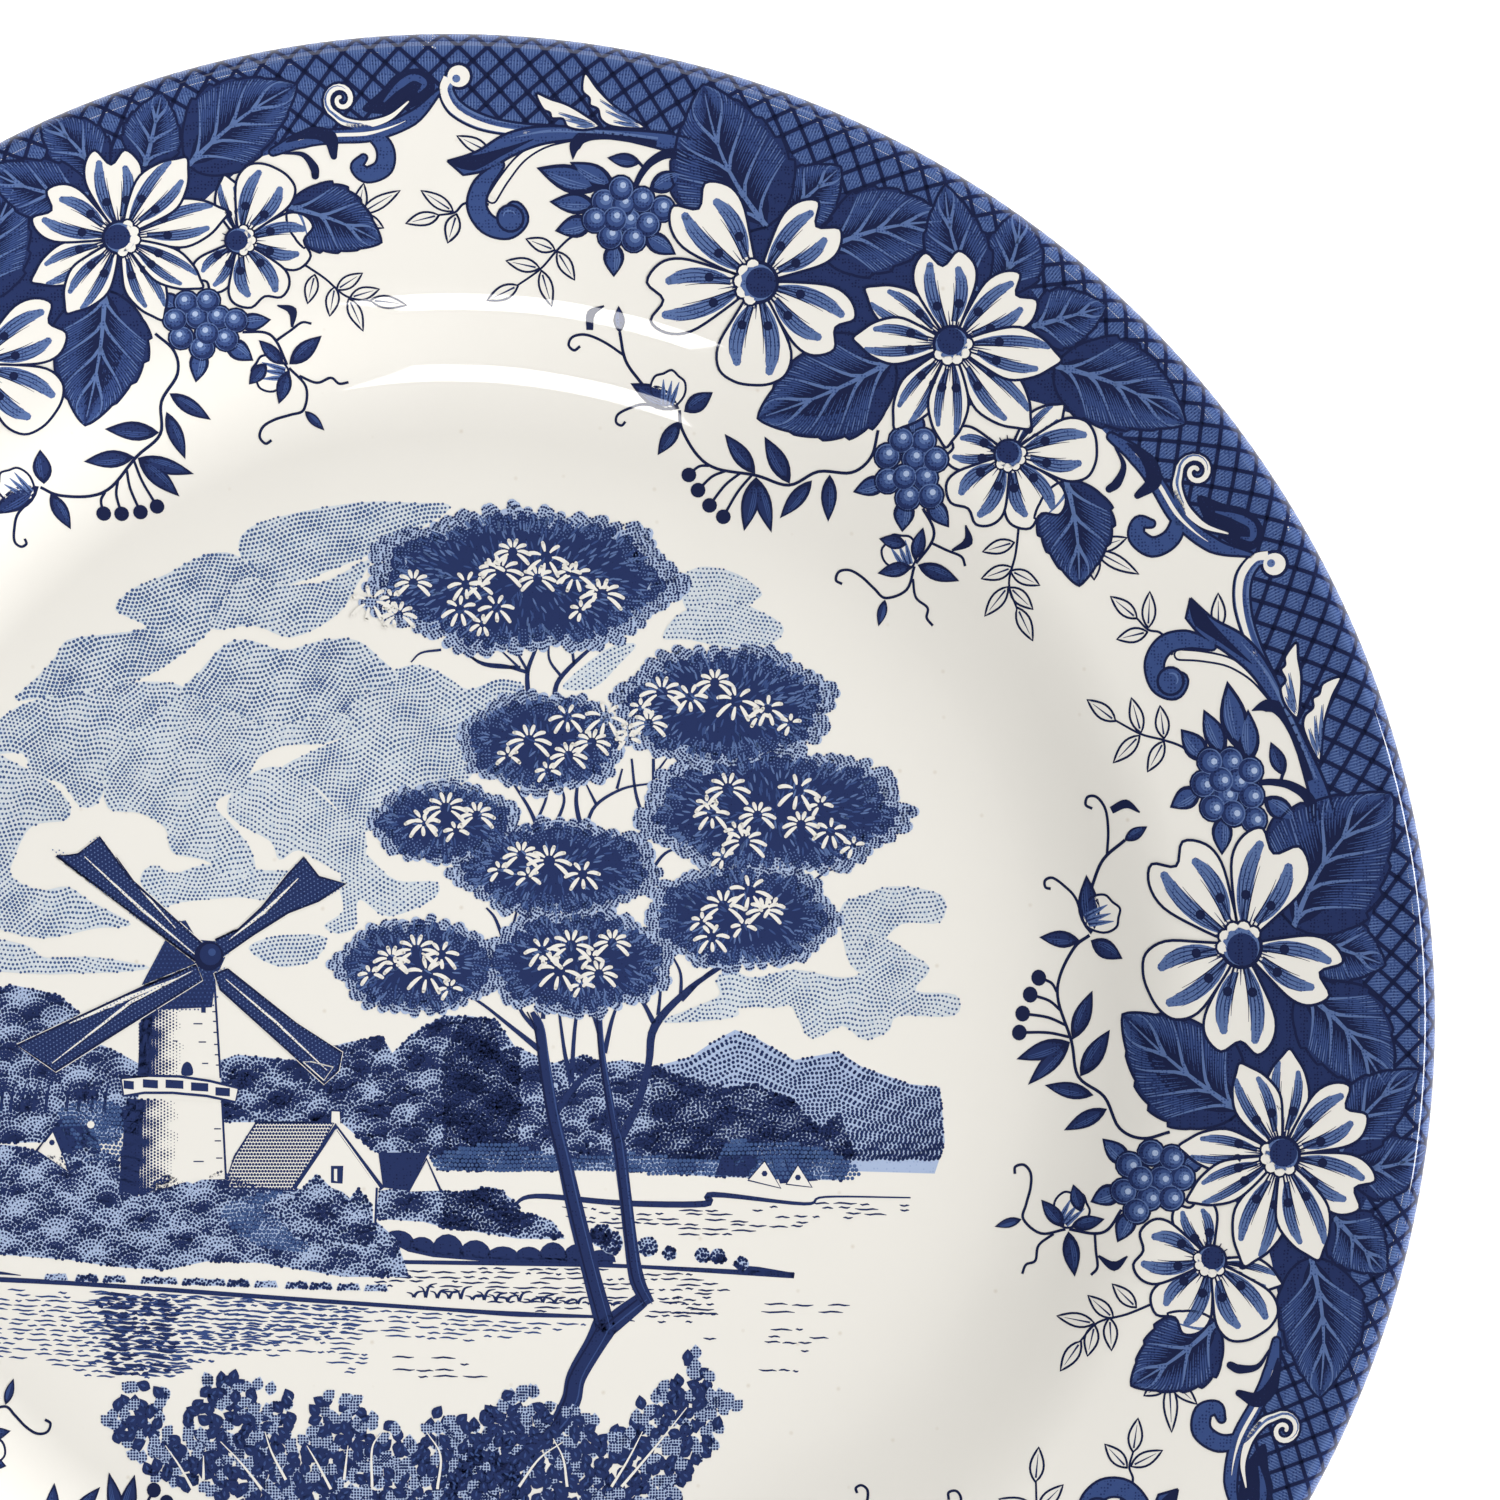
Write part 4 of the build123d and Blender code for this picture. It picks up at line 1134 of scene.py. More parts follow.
def tall_tree(sheet):
    """The tall forked tree with its tiers of foliage."""
    branches(sheet, (
        (pts("2.7-62j 4.9-60j 9.3-56.4j 13.7-52.4j 15.6-49.1j 16.3-46j 18.8-41.6j 20.1-39.2j"),
            [0.8, 1.3, 1.9, 2.6, 2.5, 2.7, 3.4]),
        (pts("20.1-39.8j 18.4-33.6j 16.2-24.8j 14.8-18.6j 13.3-12.4j 12.2-5.7j 11.6-1.3j 10.6+0.9j"),
            [2.6, 2.3, 2.2, 1.9, 1.7, 1.4, 1.2, 0.6]),
        (pts("19.5-40.3j 22.6-37.8j 24.8-36.1j"), [2.6, 2.4, 2.0]),
        (pts("25.6-36.7j 24.1-33.6j 23.3-28.8j 22.5-22.1j 21.7-15.9j 21.2-14.2j"),
            [1.6, 2.0, 1.7, 1.6, 1.7, 1.3]),
        (pts("21.2-14.2j 20.1-8j 19.5-3.5j 19.1+3.1j"), [1.3, 0.9, 0.8, 0.5]),
        (pts("21.7-15.9j 24.1-11.1j 25.6-5.7j 26.4-0.9j 31+4j 36.3+7.5j"), [1.2, 1.0, 0.9, 1.1, 0.8, 0.3]),
        (pts("11.6-4j 8-1.1j 3.3+2.5j -0.9+4.2j"), [0.8, 0.4, 0.25]),
        (pts("11.6-1.8j 9.5+0.5j 8.4+2.7j"), [0.7, 0.3]),
        (pts("13.5-12.4j 15.9-8.8j 18.1-6.6j 19.5-5.3j"), [0.9, 0.6, 0.4]),
        (pts("15.7-8.2j 14.8-4.4j 13.9+2.2j"), [0.8, 0.5, 0.3]),
        (pts("15.7-7.5j 16-2.2j 16.6+3.1j"), [0.6, 0.4]), (pts("19.5-3.1j 18.4+0.5j 16.8+2.7j"), [0.5, 0.25]),
        (pts("19.9-4.4j 20.8-0.4j 21.7+2.2j"), [0.7, 0.3]),
        (pts("26.3-0.6j 24.8+2.2j 23+4j"), [0.7, 0.3]), (pts("26.8+0.5j 27.1+3.6j 27.1+6.2j"), [0.5, 0.25]),
        (pts("29.7+2.7j 29.7+5.8j 28.6+8.2j"), [0.5, 0.25]),
        (pts("12+0j 12+3.1j 10.6+4.9j"), [0.6, 0.3]),
        (pts("10.2+40.7j 10+44.6j 11.2+48j 11.5+49.7j"), [0.7, 0.5, 0.3]),
        (pts("10.1+44.6j 8.5+47.5j 8.1+49.2j"), [0.4, 0.25]),
        (pts("10+44.6j 7.2+45.4j 4.3+45.8j 1.7+47.1j"), [0.5, 0.4, 0.2]),
        (pts("13.4+40.9j 14.1+43.7j 17.9+47.5j 21.3+49.9j"), [0.7, 0.55, 0.2]),
        (pts("14.3+44.1j 12.8+46.3j 12.8+49.2j"), [0.4, 0.25]),
        (pts("16+45.6j 15.6+48j 14.7+49.2j"), [0.4, 0.25]), (pts("18.5+47.8j 18.3+49.7j"), [0.3, 0.2]),
        (pts("-5+45.9j -3.7+47.1j -1.1+47.5j"), [0.2, 0.35]),
        (pts("9.1+45.2j 4.4+45.6j 1.4+47.8j"), [0.5, 0.3]), (pts("8.7+45.4j 6.5+47.5j"), [0.35, 0.2]),
        (pts("11.5+24.1j 10.2+27.1j 8.3+30.1j"), [0.6, 0.3]),
        (pts("11+25j 12.4+28.4j 12.4+30.9j"), [0.4, 0.3]),
        (pts("13.2+24.1j 14.7+27.9j 14.1+30.3j"), [0.5, 0.25]),
        (pts("17.1+23.7j 16.3+27.5j 16.4+30.1j"), [0.7, 0.4]),
        (pts("17.4+24.5j 18.8+27.5j 22.2+29.6j 25.8+30.3j"), [0.5, 0.4, 0.25]),
        (pts("18.8+27.7j 17.5+30.3j"), [0.4, 0.2]),
        (pts("21.5+29.6j 22.2+32.2j"), [0.4, 0.25]),
        (pts("23.9+19.4j 25.6+24.5j 26.2+27.5j 26.2+33.5j"), [0.7, 0.6, 0.4]),
        (pts("26+25.8j 29.8+29.6j 30.8+34.3j"), [0.6, 0.3]),
        (pts("24.9+25.8j 23.9+29.2j 23.4+33.5j"), [0.5, 0.3]), (pts("26.3+31.3j 28.2+33.9j"), [0.35, 0.2]),
        (pts("33+18.6j 32.9+22.4j"), [0.5, 0.3]),
        (pts("35+18.8j 37.5+21.1j"), [0.4, 0.2]), (pts("39.4+17.1j 42.6+20.7j"), [0.4, 0.2]),
        (pts("44.3+15.6j 48.2+18.8j 50.3+19.4j"), [0.4, 0.2]),
        (pts("25.6+18.6j 27.7+21.3j 30.3+22.2j"), [0.5, 0.25]), (pts("34.1+32.6j 37.1+35.2j"), [0.4, 0.2]),
        (pts("29.8+2.4j 33.2+5.8j 36.7+7.9j"), [0.6, 0.25]),
        (pts("6.8+10.5j 5.8+13j 4.7+14.3j"), [0.5, 0.25]), (pts("7.9+10.9j 8.7+14.3j"), [0.45, 0.25]),
    ), 4)
    for centre, wide, tall, stars in (
        (9.3 + 56.4j, 20.6, 9.6, pts(
            "6.6+57.6j 2.1+55.9j 8.1+60.1j 12.4+59.4j 11.3+56.7j 16.1+57.1j 19.6+54.6j 6+52.9j "
            "-4.7+56.1j -10.2+53.7j -6.6+52j 1.3+52.7j"
        )),
        (35.4 + 40.3j, 14.2, 7.9, pts("27.3+42j 30.9+41.4j 25.6+38j 36.9+40.9j 34.1+43.3j 40.9+39.9j")),
        (12.1 + 35.6j, 10.9, 6.4, pts("10.2+35.8j 15.1+38.8j 15.3+33.9j 20+38.8j 18.3+35.6j")),
        (-0.7 + 25.2j, 9.6, 5.2, pts("-0.5+27.1j -3.5+25.4j 3.5+26.2j")),
        (41.8 + 26.7j, 17.6, 8.4,
            pts("35.8+29.6j 33.7+26.4j 39.6+26.2j 44.8+29.4j 45.2+25j 49+24.1j 37.9+22.8j")),
        (13.6 + 19.4j, 13.4, 6.3, pts("12.8+20.3j 17.1+18.6j 9.2+21.1j")),
        (37.5 + 13.2j, 12.6, 6.9, pts("35.2+14.5j 33.7+10.5j 40.5+13.9j 38.6+16.4j")),
        (-4.1 + 6.8j, 10.8, 6.2, pts("-4.3+8.8j -1.1+8.3j -7.5+7.7j -2.9+5.8j")),
        (16.4 + 7.3j, 12.4, 7.0, pts("15.6+9.4j 11.9+8.8j 20.9+9.8j 14.1+6.2j 19.2+5.8j")),
    ):
        canopy(sheet, centre, wide, tall, stars, seed=int(abs(centre)), level=5)


def foreground(sheet):
    """The leafy shrubs along the bottom of the picture."""
    leafy(sheet, pts(
        "-44.6-51.8j -42.3-48.2j -40.1-45.8j -38.4-47.4j -35.9-47.8j -37-51.3j -34.8-53.1j "
        "-33.9-50.4j -31.7-49.1j -31.7-45.6j -30-44j -26.9-46j -23.8-47.1j -19.8-48j "
        "-20.2-51.3j -19.3-53.1j -18-50j -16.7-48.2j -11.8-48.7j -10.5-50.9j -6.9-52.2j "
        "-4.7-53.1j -1.6-50.4j 2.8-51.3j 5.5-50j 7.7-47.8j 9.9-48.2j 9.9-63.7j -24.2-63.7j "
        "-38.4-58.9j"
    ), 41)
    leafy(sheet, pts(
        "-0.9-55.3j 2.7-51.3j 5.8-50j 7.5-48.2j 9.3-46.7j 11.5-48.2j 14.2-50.4j 17.7-50.4j "
        "21.2-52.7j 23-52.2j 24.8-48.2j 27.4-47.1j 29.2-46j 31-42j 33.6-43.8j 34.1-46.5j "
        "35.4-48.2j 38.1-50.4j 35-51.8j 34.1-55.3j 31-57.5j 28.3-63.7j -0.9-63.7j"
    ), 42)
    for twig in (
        pts("-33.1-60.5j -34.8-57.5j -36.6-54.9j"), pts("-31.7-59.3j -31.7-56.2j"),
        pts("-24.2-60.5j -26.9-57.1j -29.5-54.4j"), pts("-21.1-59.3j -22.9-55.8j -23.8-53.1j"),
        pts("-15.3-60.5j -17.1-57.1j -18.4-54.9j"), pts("-13.6-59.3j -13.1-54.9j"),
        pts("-10-60.2j -10-55.3j -8.7-53.1j"), pts("-1.6-60.5j -1.2-56.2j -3-53.1j"),
        pts("15.1-60.2j 14.6-56.6j 13.3-54j"), pts("20.8-60.2j 23-56.6j 24.8-53.1j"),
        pts("22.1-60.2j 26.6-54.9j 30.5-50j"), pts("8.9-60.2j 11.5-56.6j 14.6-54.4j"),
    ):
        sheet.stroke("bare", smooth(twig), [0.36, 0.24, 0.1], 8)


def in_place(points):
    """Where the picture lies on the plate: a little off its centre."""
    return points * PICTURE_SCALE + PICTURE_SHIFT


def landscape():
    """Sky, hills, shores, river, houses and windmill."""
    sheet = Print()
    clouds(sheet)
    far_land(sheet)
    near_bank(sheet)
    houses(sheet)
    windmill(sheet)
    return sheet.moved(in_place)


def trees():
    """The tall tree and the shrubs in front of the scene."""
    sheet = Print()
    tall_tree(sheet)
    foreground(sheet)
    return sheet.moved(in_place)


# ---------------------------------------------------------------- the plate's surface
def section_centres():
    """Centres of the shoulder's two bends and of the rounded edge, in the half section."""
    lower = WELL_RADIUS + 1j * (FLOOR_TOP + SHOULDER_RADIUS)
    foot = lower - polar(SHOULDER_RADIUS, 90 + SHOULDER_SLOPE)
    head = foot + polar(SHOULDER_RUN / cos(radians(SHOULDER_SLOPE)), SHOULDER_SLOPE)
    upper = head - polar(SHOULDER_RADIUS, 90 + SHOULDER_SLOPE)
    middle = upper + polar(SHOULDER_RADIUS - CLAY / 2, 90 + RIM_SLOPE)
    across = PLATE_RADIUS - GLAZE - CLAY / 2 - middle.real
    return lower, upper, middle + polar(across / cos(radians(RIM_SLOPE)), RIM_SLOPE)


LOWER_BEND, UPPER_BEND, EDGE_CENTRE = section_centres()
WAVES = [  # of the glaze, which is never quite flat: length, direction, height and phase
    (37.0, 12, 0.012, 0.4), (29.0, 71, 0.010, 2.1), (23.0, 128, 0.008, 4.0),
    (17.0, 163, 0.005, 1.2), (13.0, 40, 0.003, 5.1),
]


def face_point(radius):
    """Radius, height and slope of the plate's white ground at a developed radius."""
    inner, outer, edge = SHOULDER_RADIUS - GROUND, SHOULDER_RADIUS + GROUND, CLAY / 2 + GROUND
    bend_end = LOWER_BEND - polar(inner, 90 + SHOULDER_SLOPE)
    slope_end = UPPER_BEND + polar(outer, 90 + SHOULDER_SLOPE)
    rim_start = UPPER_BEND + polar(outer, 90 + RIM_SLOPE)
    rim_end = EDGE_CENTRE + polar(edge, 90 + RIM_SLOPE)
    lower_angle = np.degrees(np.arcsin(np.clip((radius - WELL_RADIUS) / inner, 0, 1)))
    upper_angle = np.degrees(np.arcsin(np.clip((UPPER_BEND.real - radius) / outer, 0, 1)))
    wrap = RIM_SLOPE - np.degrees((radius - rim_end.real) / edge)
    ends = (WELL_RADIUS, bend_end.real, slope_end.real, rim_start.real, rim_end.real)
    stretch = [radius < end for end in ends]
    slope = np.select(stretch, [0.0, lower_angle, SHOULDER_SLOPE, upper_angle, RIM_SLOPE], wrap)
    height = np.select(
        stretch,
        [FLOOR_TOP + GROUND, LOWER_BEND.imag - inner * np.cos(np.radians(slope)),
         bend_end.imag + (radius - bend_end.real) * np.tan(radians(SHOULDER_SLOPE)),
         UPPER_BEND.imag + outer * np.cos(np.radians(slope)),
         rim_start.imag + (radius - rim_start.real) * np.tan(radians(RIM_SLOPE))],
        EDGE_CENTRE.imag + edge * np.cos(np.radians(slope)))
    true_radius = np.where(radius < rim_end.real, radius, EDGE_CENTRE.real - edge * np.sin(np.radians(slope)))
    return true_radius, height, slope


def drape(points):
    """Places points of the plan on the white ground. Returns their positions in millimetres and normals."""
    radius, height, slope = face_point(np.abs(points))
    outwards = points / np.maximum(np.abs(points), 1e-9)
    ripple = np.zeros(len(points))
    tilt = np.zeros(len(points), complex)
    for length, direction, amplitude, phase in WAVES:
        way = polar(1.0, direction)
        turn = 2 * pi / length * (points.real * way.real + points.imag * way.imag) + phase
        ripple += amplitude * np.sin(turn)
        tilt += amplitude * 2 * pi / length * np.cos(turn) * way
    fade = np.clip((PLATE_RADIUS - 1 - np.abs(points)) / 6, 0, 1)
    spot = radius * outwards
    lean = -np.sin(np.radians(slope)) * outwards - tilt * fade
    normal = np.stack([lean.real, lean.imag, np.cos(np.radians(slope))], 1)
    normal /= np.linalg.norm(normal, axis=1)[:, None]
    return np.stack([spot.real, spot.imag, height + ripple * fade], 1), normal


def longest_edge(points):
    """How long a triangle's edge may be at each point, so that it follows the face."""
    radius = np.abs(points)
    shoulder = (radius > WELL_RADIUS - 1) & (radius < SHOULDER_END)
    return np.select([radius > EDGE_CENTRE.real - 1.5, shoulder, radius < WELL_RADIUS], [0.45, 1.1, 2.4], 3.0)


def refine(triangles, levels):
    """Halves the edges that are too long for the face's curve, on both sides of each edge alike."""
    done, done_levels = [], []
    while len(triangles):
        ends = np.roll(triangles, -1, 1)
        middles = (triangles + ends) / 2
        long = np.abs(ends - triangles) > longest_edge(middles)
        count = long.sum(1)
        done.append(triangles[count == 0])
        done_levels.append(levels[count == 0])
        parts, part_levels = [], []
        for kind in (1, 2, 3):
            pick = count == kind
            t, m, flags, lv = triangles[pick], middles[pick], long[pick], levels[pick]
            if not len(t):
                continue
            first = np.argmax(flags, 1) if kind == 1 else np.argmin(flags,
                1) if kind == 2 else np.zeros(len(t), int)
            order = (first[:, None] + np.arange(3)) % 3
            t = np.take_along_axis(t, order, 1)
            m = np.take_along_axis(m, order, 1)
            if kind == 1:
                new = [(t[:, 0], m[:, 0], t[:, 2]), (m[:, 0], t[:, 1], t[:, 2])]
            elif kind == 2:
                new = [(t[:, 0], t[:, 1], m[:, 1]), (t[:, 0], m[:, 1], m[:, 2]), (m[:, 2], m[:, 1], t[:, 2])]
            else:
                new = [(t[:, 0], m[:, 0], m[:, 2]), (m[:, 0], t[:, 1], m[:, 1]), (m[:, 2], m[:, 1], t[:, 2]),
                       (m[:, 0], m[:, 1], m[:, 2])]
            parts += [np.stack(n, 1) for n in new]
            part_levels += [lv] * len(new)
        triangles = np.concatenate(parts) if parts else np.zeros((0, 3), complex)
        levels = np.concatenate(part_levels) if parts else np.zeros(0, int)
    return np.concatenate(done), np.concatenate(done_levels)


# ---------------------------------------------------------------- meshes
def mesh_object(name, positions, normals, faces, plan, material):
    """A smooth mesh object from positions in millimetres, with its bake map laid out on the plan."""
    mesh = bpy.data.meshes.new(name)
    mesh.from_pydata((positions * MM).tolist(), [], faces)
    mesh.polygons.foreach_set("use_smooth", [True] * len(mesh.polygons))
    corner = np.zeros(len(mesh.loops), int)
    mesh.loops.foreach_get("vertex_index", corner)
    uv = mesh.uv_layers.new(name="OFBake")
    spread = np.stack([plan.real, plan.imag], 1)[corner] / (2.04 * np.abs(plan).max()) + 0.5
    uv.data.foreach_set("uv", spread.astype(np.float32).ravel())
    mesh.materials.append(material)
    mesh.normals_split_custom_set_from_vertices(normals.tolist())
    piece = bpy.data.objects.new(name, mesh)
    bpy.context.scene.collection.objects.link(piece)
    return piece


def print_piece(name, batches, material):
    """One tone of a print as a mesh laid on the face."""
    triangles = np.concatenate([t for t, _ in batches])
    levels = np.concatenate([np.full(len(t), level) for t, level in batches])
    area = np.imag(np.conj(triangles[:, 1] - triangles[:, 0]) * (triangles[:, 2] - triangles[:, 0]))
    triangles[area < 0] = triangles[area < 0][:, ::-1]
    keep = np.abs(area) > 1e-5
    triangles, levels = refine(triangles[keep], levels[keep])
    corners = np.stack([triangles.real.ravel(), triangles.imag.ravel(), np.repeat(levels, 3)], 1).round(4)
    unique, faces = np.unique(corners, axis=0, return_inverse=True)
    plan = unique[:, 0] + 1j * unique[:, 1]
    positions, normals = drape(plan)
    positions += normals * (LEVEL_STEP * (unique[:, 2:] + 1))
    piece = mesh_object(name, positions, normals, faces.reshape(-1, 3).tolist(), plan, material)
    return piece


def rings(radii):
    """Points of the plan on circles of the given radii."""
    return (radii[:, None] * polar(1.0, np.arange(SEGMENTS) * 360 / SEGMENTS)).ravel()


def ring_faces(count):
    """Faces between each ring of points and the next."""
    index = np.arange(count * SEGMENTS).reshape(count, SEGMENTS)
    following = np.roll(index, -1, 1)
    return np.stack([index[:-1], index[1:], following[1:], following[:-1]], -1).reshape(-1, 4).tolist()


def lathe(name, outline, normals, material):
    """A surface of revolution from (radius, height) points and their outward normals in the half section."""
    plan, lean = rings(outline.real), rings(normals.real)
    positions = np.stack([plan.real, plan.imag, np.repeat(outline.imag, SEGMENTS)], 1)
    direction = np.stack([lean.real, lean.imag, np.repeat(normals.imag, SEGMENTS)], 1)
    return mesh_object(name, positions, direction, ring_faces(len(outline)), plan, material)


# ---------------------------------------------------------------- materials
def glazed(name, colour, spot_colour, spot_scale, threshold, cloud=0.06):
    """A glossy glaze over a colour with fine flecks of another, and slow changes of strength."""
    material = bpy.data.materials.new(name)
    material.use_nodes = True
    nodes, links = material.node_tree.nodes, material.node_tree.links
    shader = nodes["Principled BSDF"]
    place = nodes.new("ShaderNodeTexCoord")
    flecks = nodes.new("ShaderNodeTexVoronoi")
    flecks.inputs["Scale"].default_value = spot_scale
    flecks.inputs["Randomness"].default_value = 0.35
    ramp = nodes.new("ShaderNodeValToRGB")
    ramp.color_ramp.elements[0].position = threshold - 0.05
    ramp.color_ramp.elements[1].position = threshold + 0.05
    ramp.color_ramp.elements[0].color = (*spot_colour, 1)
    ramp.color_ramp.elements[1].color = (*colour, 1)
    drift = nodes.new("ShaderNodeTexNoise")
    drift.inputs["Scale"].default_value = 90.0
    drift.inputs["Detail"].default_value = 3.0
    strength = nodes.new("ShaderNodeMapRange")
    strength.inputs["To Min"].default_value = 1 - cloud
    strength.inputs["To Max"].default_value = 1 + cloud
    shade = nodes.new("ShaderNodeVectorMath")
    shade.operation = "SCALE"
    links.new(place.outputs["Object"], flecks.inputs["Vector"])
    links.new(place.outputs["Object"], drift.inputs["Vector"])
    links.new(flecks.outputs["Distance"], ramp.inputs["Fac"])
    links.new(drift.outputs["Fac"], strength.inputs["Value"])
    links.new(ramp.outputs["Color"], shade.inputs[0])
    links.new(strength.outputs["Result"], shade.inputs["Scale"])
    links.new(shade.outputs["Vector"], shader.inputs["Base Color"])
    shader.inputs["Roughness"].default_value = 0.55
    shader.inputs["Specular IOR Level"].default_value = 0.0
    shader.inputs["Coat Weight"].default_value = 1.0
    shader.inputs["Coat Roughness"].default_value = 0.035
    shader.inputs["Coat IOR"].default_value = GLAZE_INDEX
    return material


def matte(name, colour, roughness):
    """A plain surface with a faint grain."""
    material = bpy.data.materials.new(name)
    material.use_nodes = True
    nodes, links = material.node_tree.nodes, material.node_tree.links
    shader = nodes["Principled BSDF"]
    grain = nodes.new("ShaderNodeTexNoise")
    grain.inputs["Scale"].default_value = 900.0
    ramp = nodes.new("ShaderNodeValToRGB")
    ramp.color_ramp.elements[0].color = (*(c * 0.93 for c in colour), 1)
    ramp.color_ramp.elements[1].color = (*colour, 1)
    links.new(grain.outputs["Fac"], ramp.inputs["Fac"])
    links.new(ramp.outputs["Color"], shader.inputs["Base Color"])
    shader.inputs["Roughness"].default_value = roughness
    return material


def linear(red, green, blue):
    """A colour given as display values from 0 to 255."""
    return tuple(((c / 255 + 0.055) / 1.055) ** 2.4 for c in (red, green, blue))


GLAZE_INDEX = 1.52  # of refraction
WHITE = linear(221, 218, 211)
INK_DEEP = linear(25, 32, 64)
INK_DARK = linear(35, 47, 88)
INK_MID = linear(53, 72, 120)
INK_LIGHT = linear(84, 105, 150)
INK_SCALE = 2300  # of the flecks
TONES = {
    "deep": glazed("ink_deep", INK_DEEP, INK_DARK, 1900, 0.12),
    "dark": glazed("ink_dark", INK_DARK, INK_DEEP, INK_SCALE, 0.30),
    "mid": glazed("ink_mid", INK_MID, INK_DARK, INK_SCALE, 0.30),
    "light": glazed("ink_light", INK_LIGHT, INK_MID, INK_SCALE, 0.30),
    "sky": glazed("ink_sky", linear(58, 80, 124), linear(72, 94, 136), 700, 0.30),
    "haze": glazed("ink_haze", linear(160, 175, 203), linear(143, 160, 192), INK_SCALE, 0.30),
    "pale": glazed("ink_pale", linear(198, 204, 209), linear(188, 197, 206), 700, 0.30),
    "bare": glazed("glaze_white", WHITE, linear(206, 199, 187), 160, 0.012, 0.012),
}
FIRED_CLAY = matte("fired_clay", linear(214, 203, 184), 0.85)


# ---------------------------------------------------------------- the plate
def plate_face():
    """The glazed face, from the middle out over the rounded edge."""
    radii = np.concatenate([
        np.linspace(0.01, WELL_RADIUS, 36),
        np.linspace(WELL_RADIUS + 0.5, SHOULDER_END, 44),
        np.linspace(SHOULDER_END + 2, EDGE_CENTRE.real - 1, 12),
        np.linspace(EDGE_CENTRE.real - 0.6, PLATE_RADIUS + 1.7, 24),
    ])
    plan = rings(radii)
    positions, normals = drape(plan)
    face = mesh_object("glazed_face", positions, normals, ring_faces(len(radii)), plan, TONES["bare"])
    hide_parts("outer_glaze", "centre_transfer", "border_transfer")
    return face


def plate_back():
    """The glazed back, from the rounded edge in to the foot ring's wiped band."""
    edge = CLAY / 2 + GROUND
    outer = SHOULDER_RADIUS - CLAY - GROUND
    inner = SHOULDER_RADIUS + CLAY + GROUND
    foot_height = FLOOR_TOP - CLAY
    foot_taper = (FOOT_WIDTH - TREAD_WIDTH) / 2
    points, normals = [], []

    def arc(centre, radius, start, end, steps, sign=1):
        angles = np.linspace(start, end, steps)
        points.extend(centre + polar(radius, angles))
        normals.extend(sign * polar(1.0, angles))

    arc(EDGE_CENTRE, edge, 4, -90 + RIM_SLOPE, 16)
    arc(UPPER_BEND, outer, 90 + RIM_SLOPE, 90 + SHOULDER_SLOPE, 12, -1)
    arc(LOWER_BEND, inner, -90 + SHOULDER_SLOPE, -88.5, 16)
    side = FOOT_RADIUS + FOOT_WIDTH / 2 + GROUND
    for height in (foot_height - 0.3, WIPED_HEIGHT):
        points.append(side - (foot_height - height) * foot_taper / foot_height + 1j * height)
        normals.append(polar(1.0, -np.degrees(np.arctan2(foot_taper, foot_height))))
    back = lathe("glazed_back", np.array(points), np.array(normals), TONES["bare"])
    return back


pieces = [plate_face(), plate_back()]
prints = (("lattice_", lattice_band()), ("garland_", garland()), ("landscape_", landscape()),
    ("tree_", trees()))
for part_name, sheet in prints:
    for tone, batches in sheet.triangles.items():
        pieces.append(print_piece(part_name + tone, batches, TONES[tone]))
for piece in pieces:
    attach(piece, "root")

for node_name, material in (("clay_body", FIRED_CLAY), ("recess_glaze", TONES["bare"])):
    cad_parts[node_name].data.materials.clear()
    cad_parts[node_name].data.materials.append(material)


# ---------------------------------------------------------------- floor, lights and camera
def floor():
    """A wide pale floor under the plate."""
    mesh = bpy.data.meshes.new("floor")
    half = 3.0  # of its side, in metres
    corners = [(-half, -half, 0), (half, -half, 0), (half, half, 0), (-half, half, 0)]
    mesh.from_pydata(corners, [], [(0, 1, 2, 3)])
    table = matte("floor", (0.97, 0.97, 0.97), 0.9)
    shader = table.node_tree.nodes["Principled BSDF"]
    shader.inputs["Emission Color"].default_value = (1.0, 1.0, 1.0, 1)
    shader.inputs["Emission Strength"].default_value = 0.5
    mesh.materials.append(table)
    ground = bpy.data.objects.new("floor", mesh)
    bpy.context.scene.collection.objects.link(ground)


def area_light(name, place, target, width, height, power):
    """A rectangular light at a place, facing a target, in metres and watts."""
    light = bpy.data.lights.new(name, "AREA")
    light.shape = "RECTANGLE"
    light.size, light.size_y, light.energy = width, height, power
    lamp = bpy.data.objects.new(name, light)
    lamp.location = place
    lamp.rotation_euler = (Vector(target) - Vector(place)).to_track_quat("-Z", "Y").to_euler()
    bpy.context.scene.collection.objects.link(lamp)


floor()
area_light("window", (-0.156, -0.755, 0.92), (0, 0.05, 0), 0.33, 0.28, 2.8)
area_light("side", (0.95, 0.0, 1.05), (0, 0, 0), 0.5, 0.2, 7.0)
area_light("far", (0.0, 0.6, 0.55), (0, 0, 0), 0.4, 0.4, 1.0)

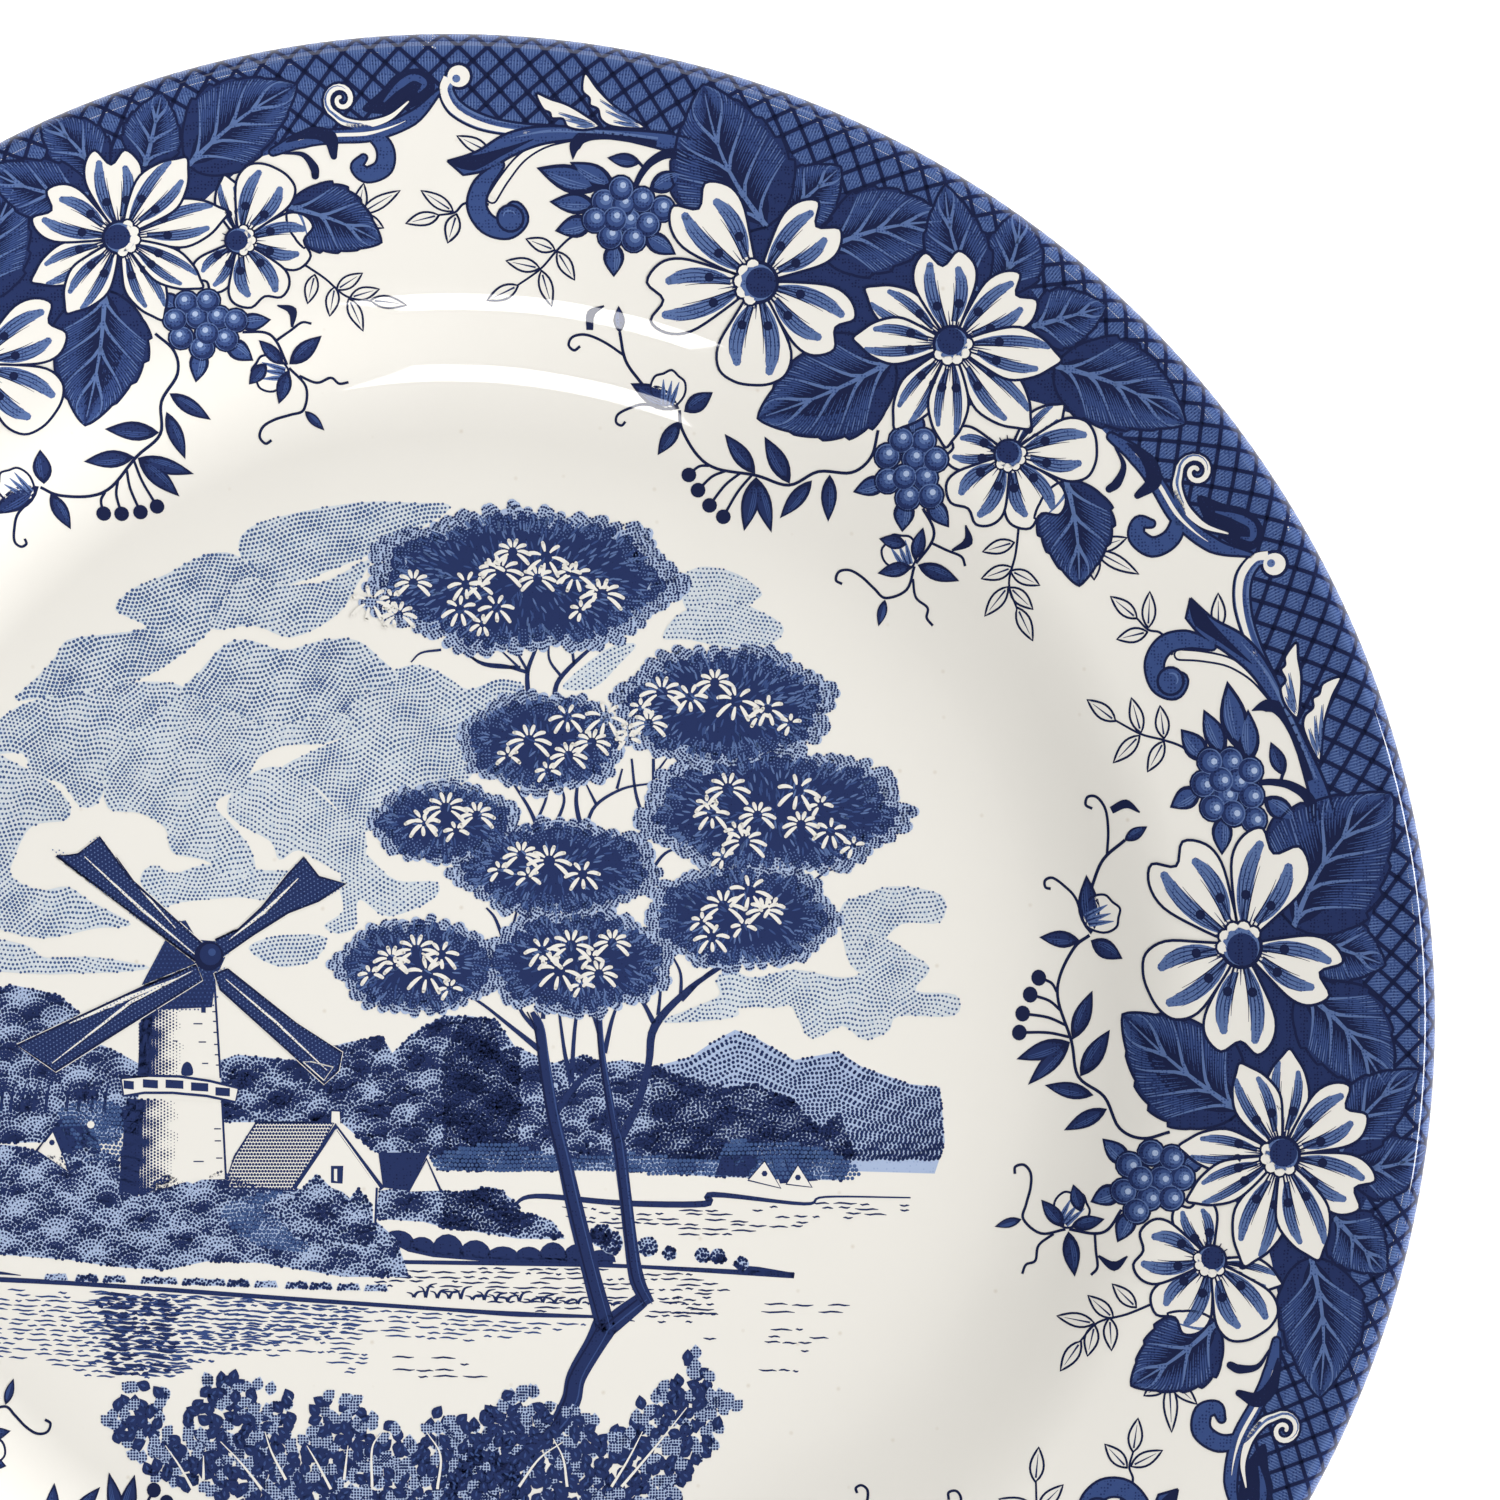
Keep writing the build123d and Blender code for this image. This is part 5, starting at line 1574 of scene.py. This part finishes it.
RING_STRENGTH = 3.9
RING_LEAN = 2.6  # more of it for each unit of direction along +X
RING_HIDDEN = 0.7  # the share of it that the glaze doesn't mirror
world = bpy.data.worlds.new("studio")
world.use_nodes = True
sky, wires = world.node_tree.nodes, world.node_tree.links
direction = sky.new("ShaderNodeTexCoord")
parts = sky.new("ShaderNodeSeparateXYZ")
height_ramp = sky.new("ShaderNodeValToRGB")  # a bright ring low down all round, and a dim ceiling
height_ramp.color_ramp.elements[0].position = 0.28
height_ramp.color_ramp.elements[0].color = (1.0, 1.0, 1.0, 1)
height_ramp.color_ramp.elements[1].position = 0.48
height_ramp.color_ramp.elements[1].color = (0.07, 0.07, 0.07, 1)
wires.new(direction.outputs["Generated"], parts.inputs["Vector"])
wires.new(parts.outputs["Z"], height_ramp.inputs["Fac"])
wires.new(height_ramp.outputs["Color"], sky["Background"].inputs["Color"])
leaning = sky.new("ShaderNodeMath")  # the right side of the ring is a little brighter than the left
leaning.operation = "MULTIPLY_ADD"
leaning.inputs[1].default_value = RING_LEAN
leaning.inputs[2].default_value = RING_STRENGTH
wires.new(parts.outputs["X"], leaning.inputs[0])
ray_kind = sky.new("ShaderNodeLightPath")  # the ring lights the plate, and shows less in its glaze
in_glaze = sky.new("ShaderNodeMath")
in_glaze.operation = "MULTIPLY_ADD"
in_glaze.inputs[1].default_value = -RING_HIDDEN
in_glaze.inputs[2].default_value = 1.0
wires.new(ray_kind.outputs["Is Glossy Ray"], in_glaze.inputs[0])
strength = sky.new("ShaderNodeMath")
strength.operation = "MULTIPLY"
wires.new(leaning.outputs["Value"], strength.inputs[0])
wires.new(in_glaze.outputs["Value"], strength.inputs[1])
wires.new(strength.outputs["Value"], sky["Background"].inputs["Strength"])
bpy.context.scene.world = world
bpy.context.scene.view_settings.view_transform = "Standard"

VIEW_WIDTH = 0.1928  # of the plate's rim plane, in metres
camera = bpy.data.cameras.new("camera")
camera.lens = 120.0
camera.clip_start = 0.01
viewer = bpy.data.objects.new("camera", camera)
viewer.location = (0.0386, 0.0346, 0.0208 + VIEW_WIDTH * camera.lens / camera.sensor_width)
bpy.context.scene.collection.objects.link(viewer)
bpy.context.scene.camera = viewer
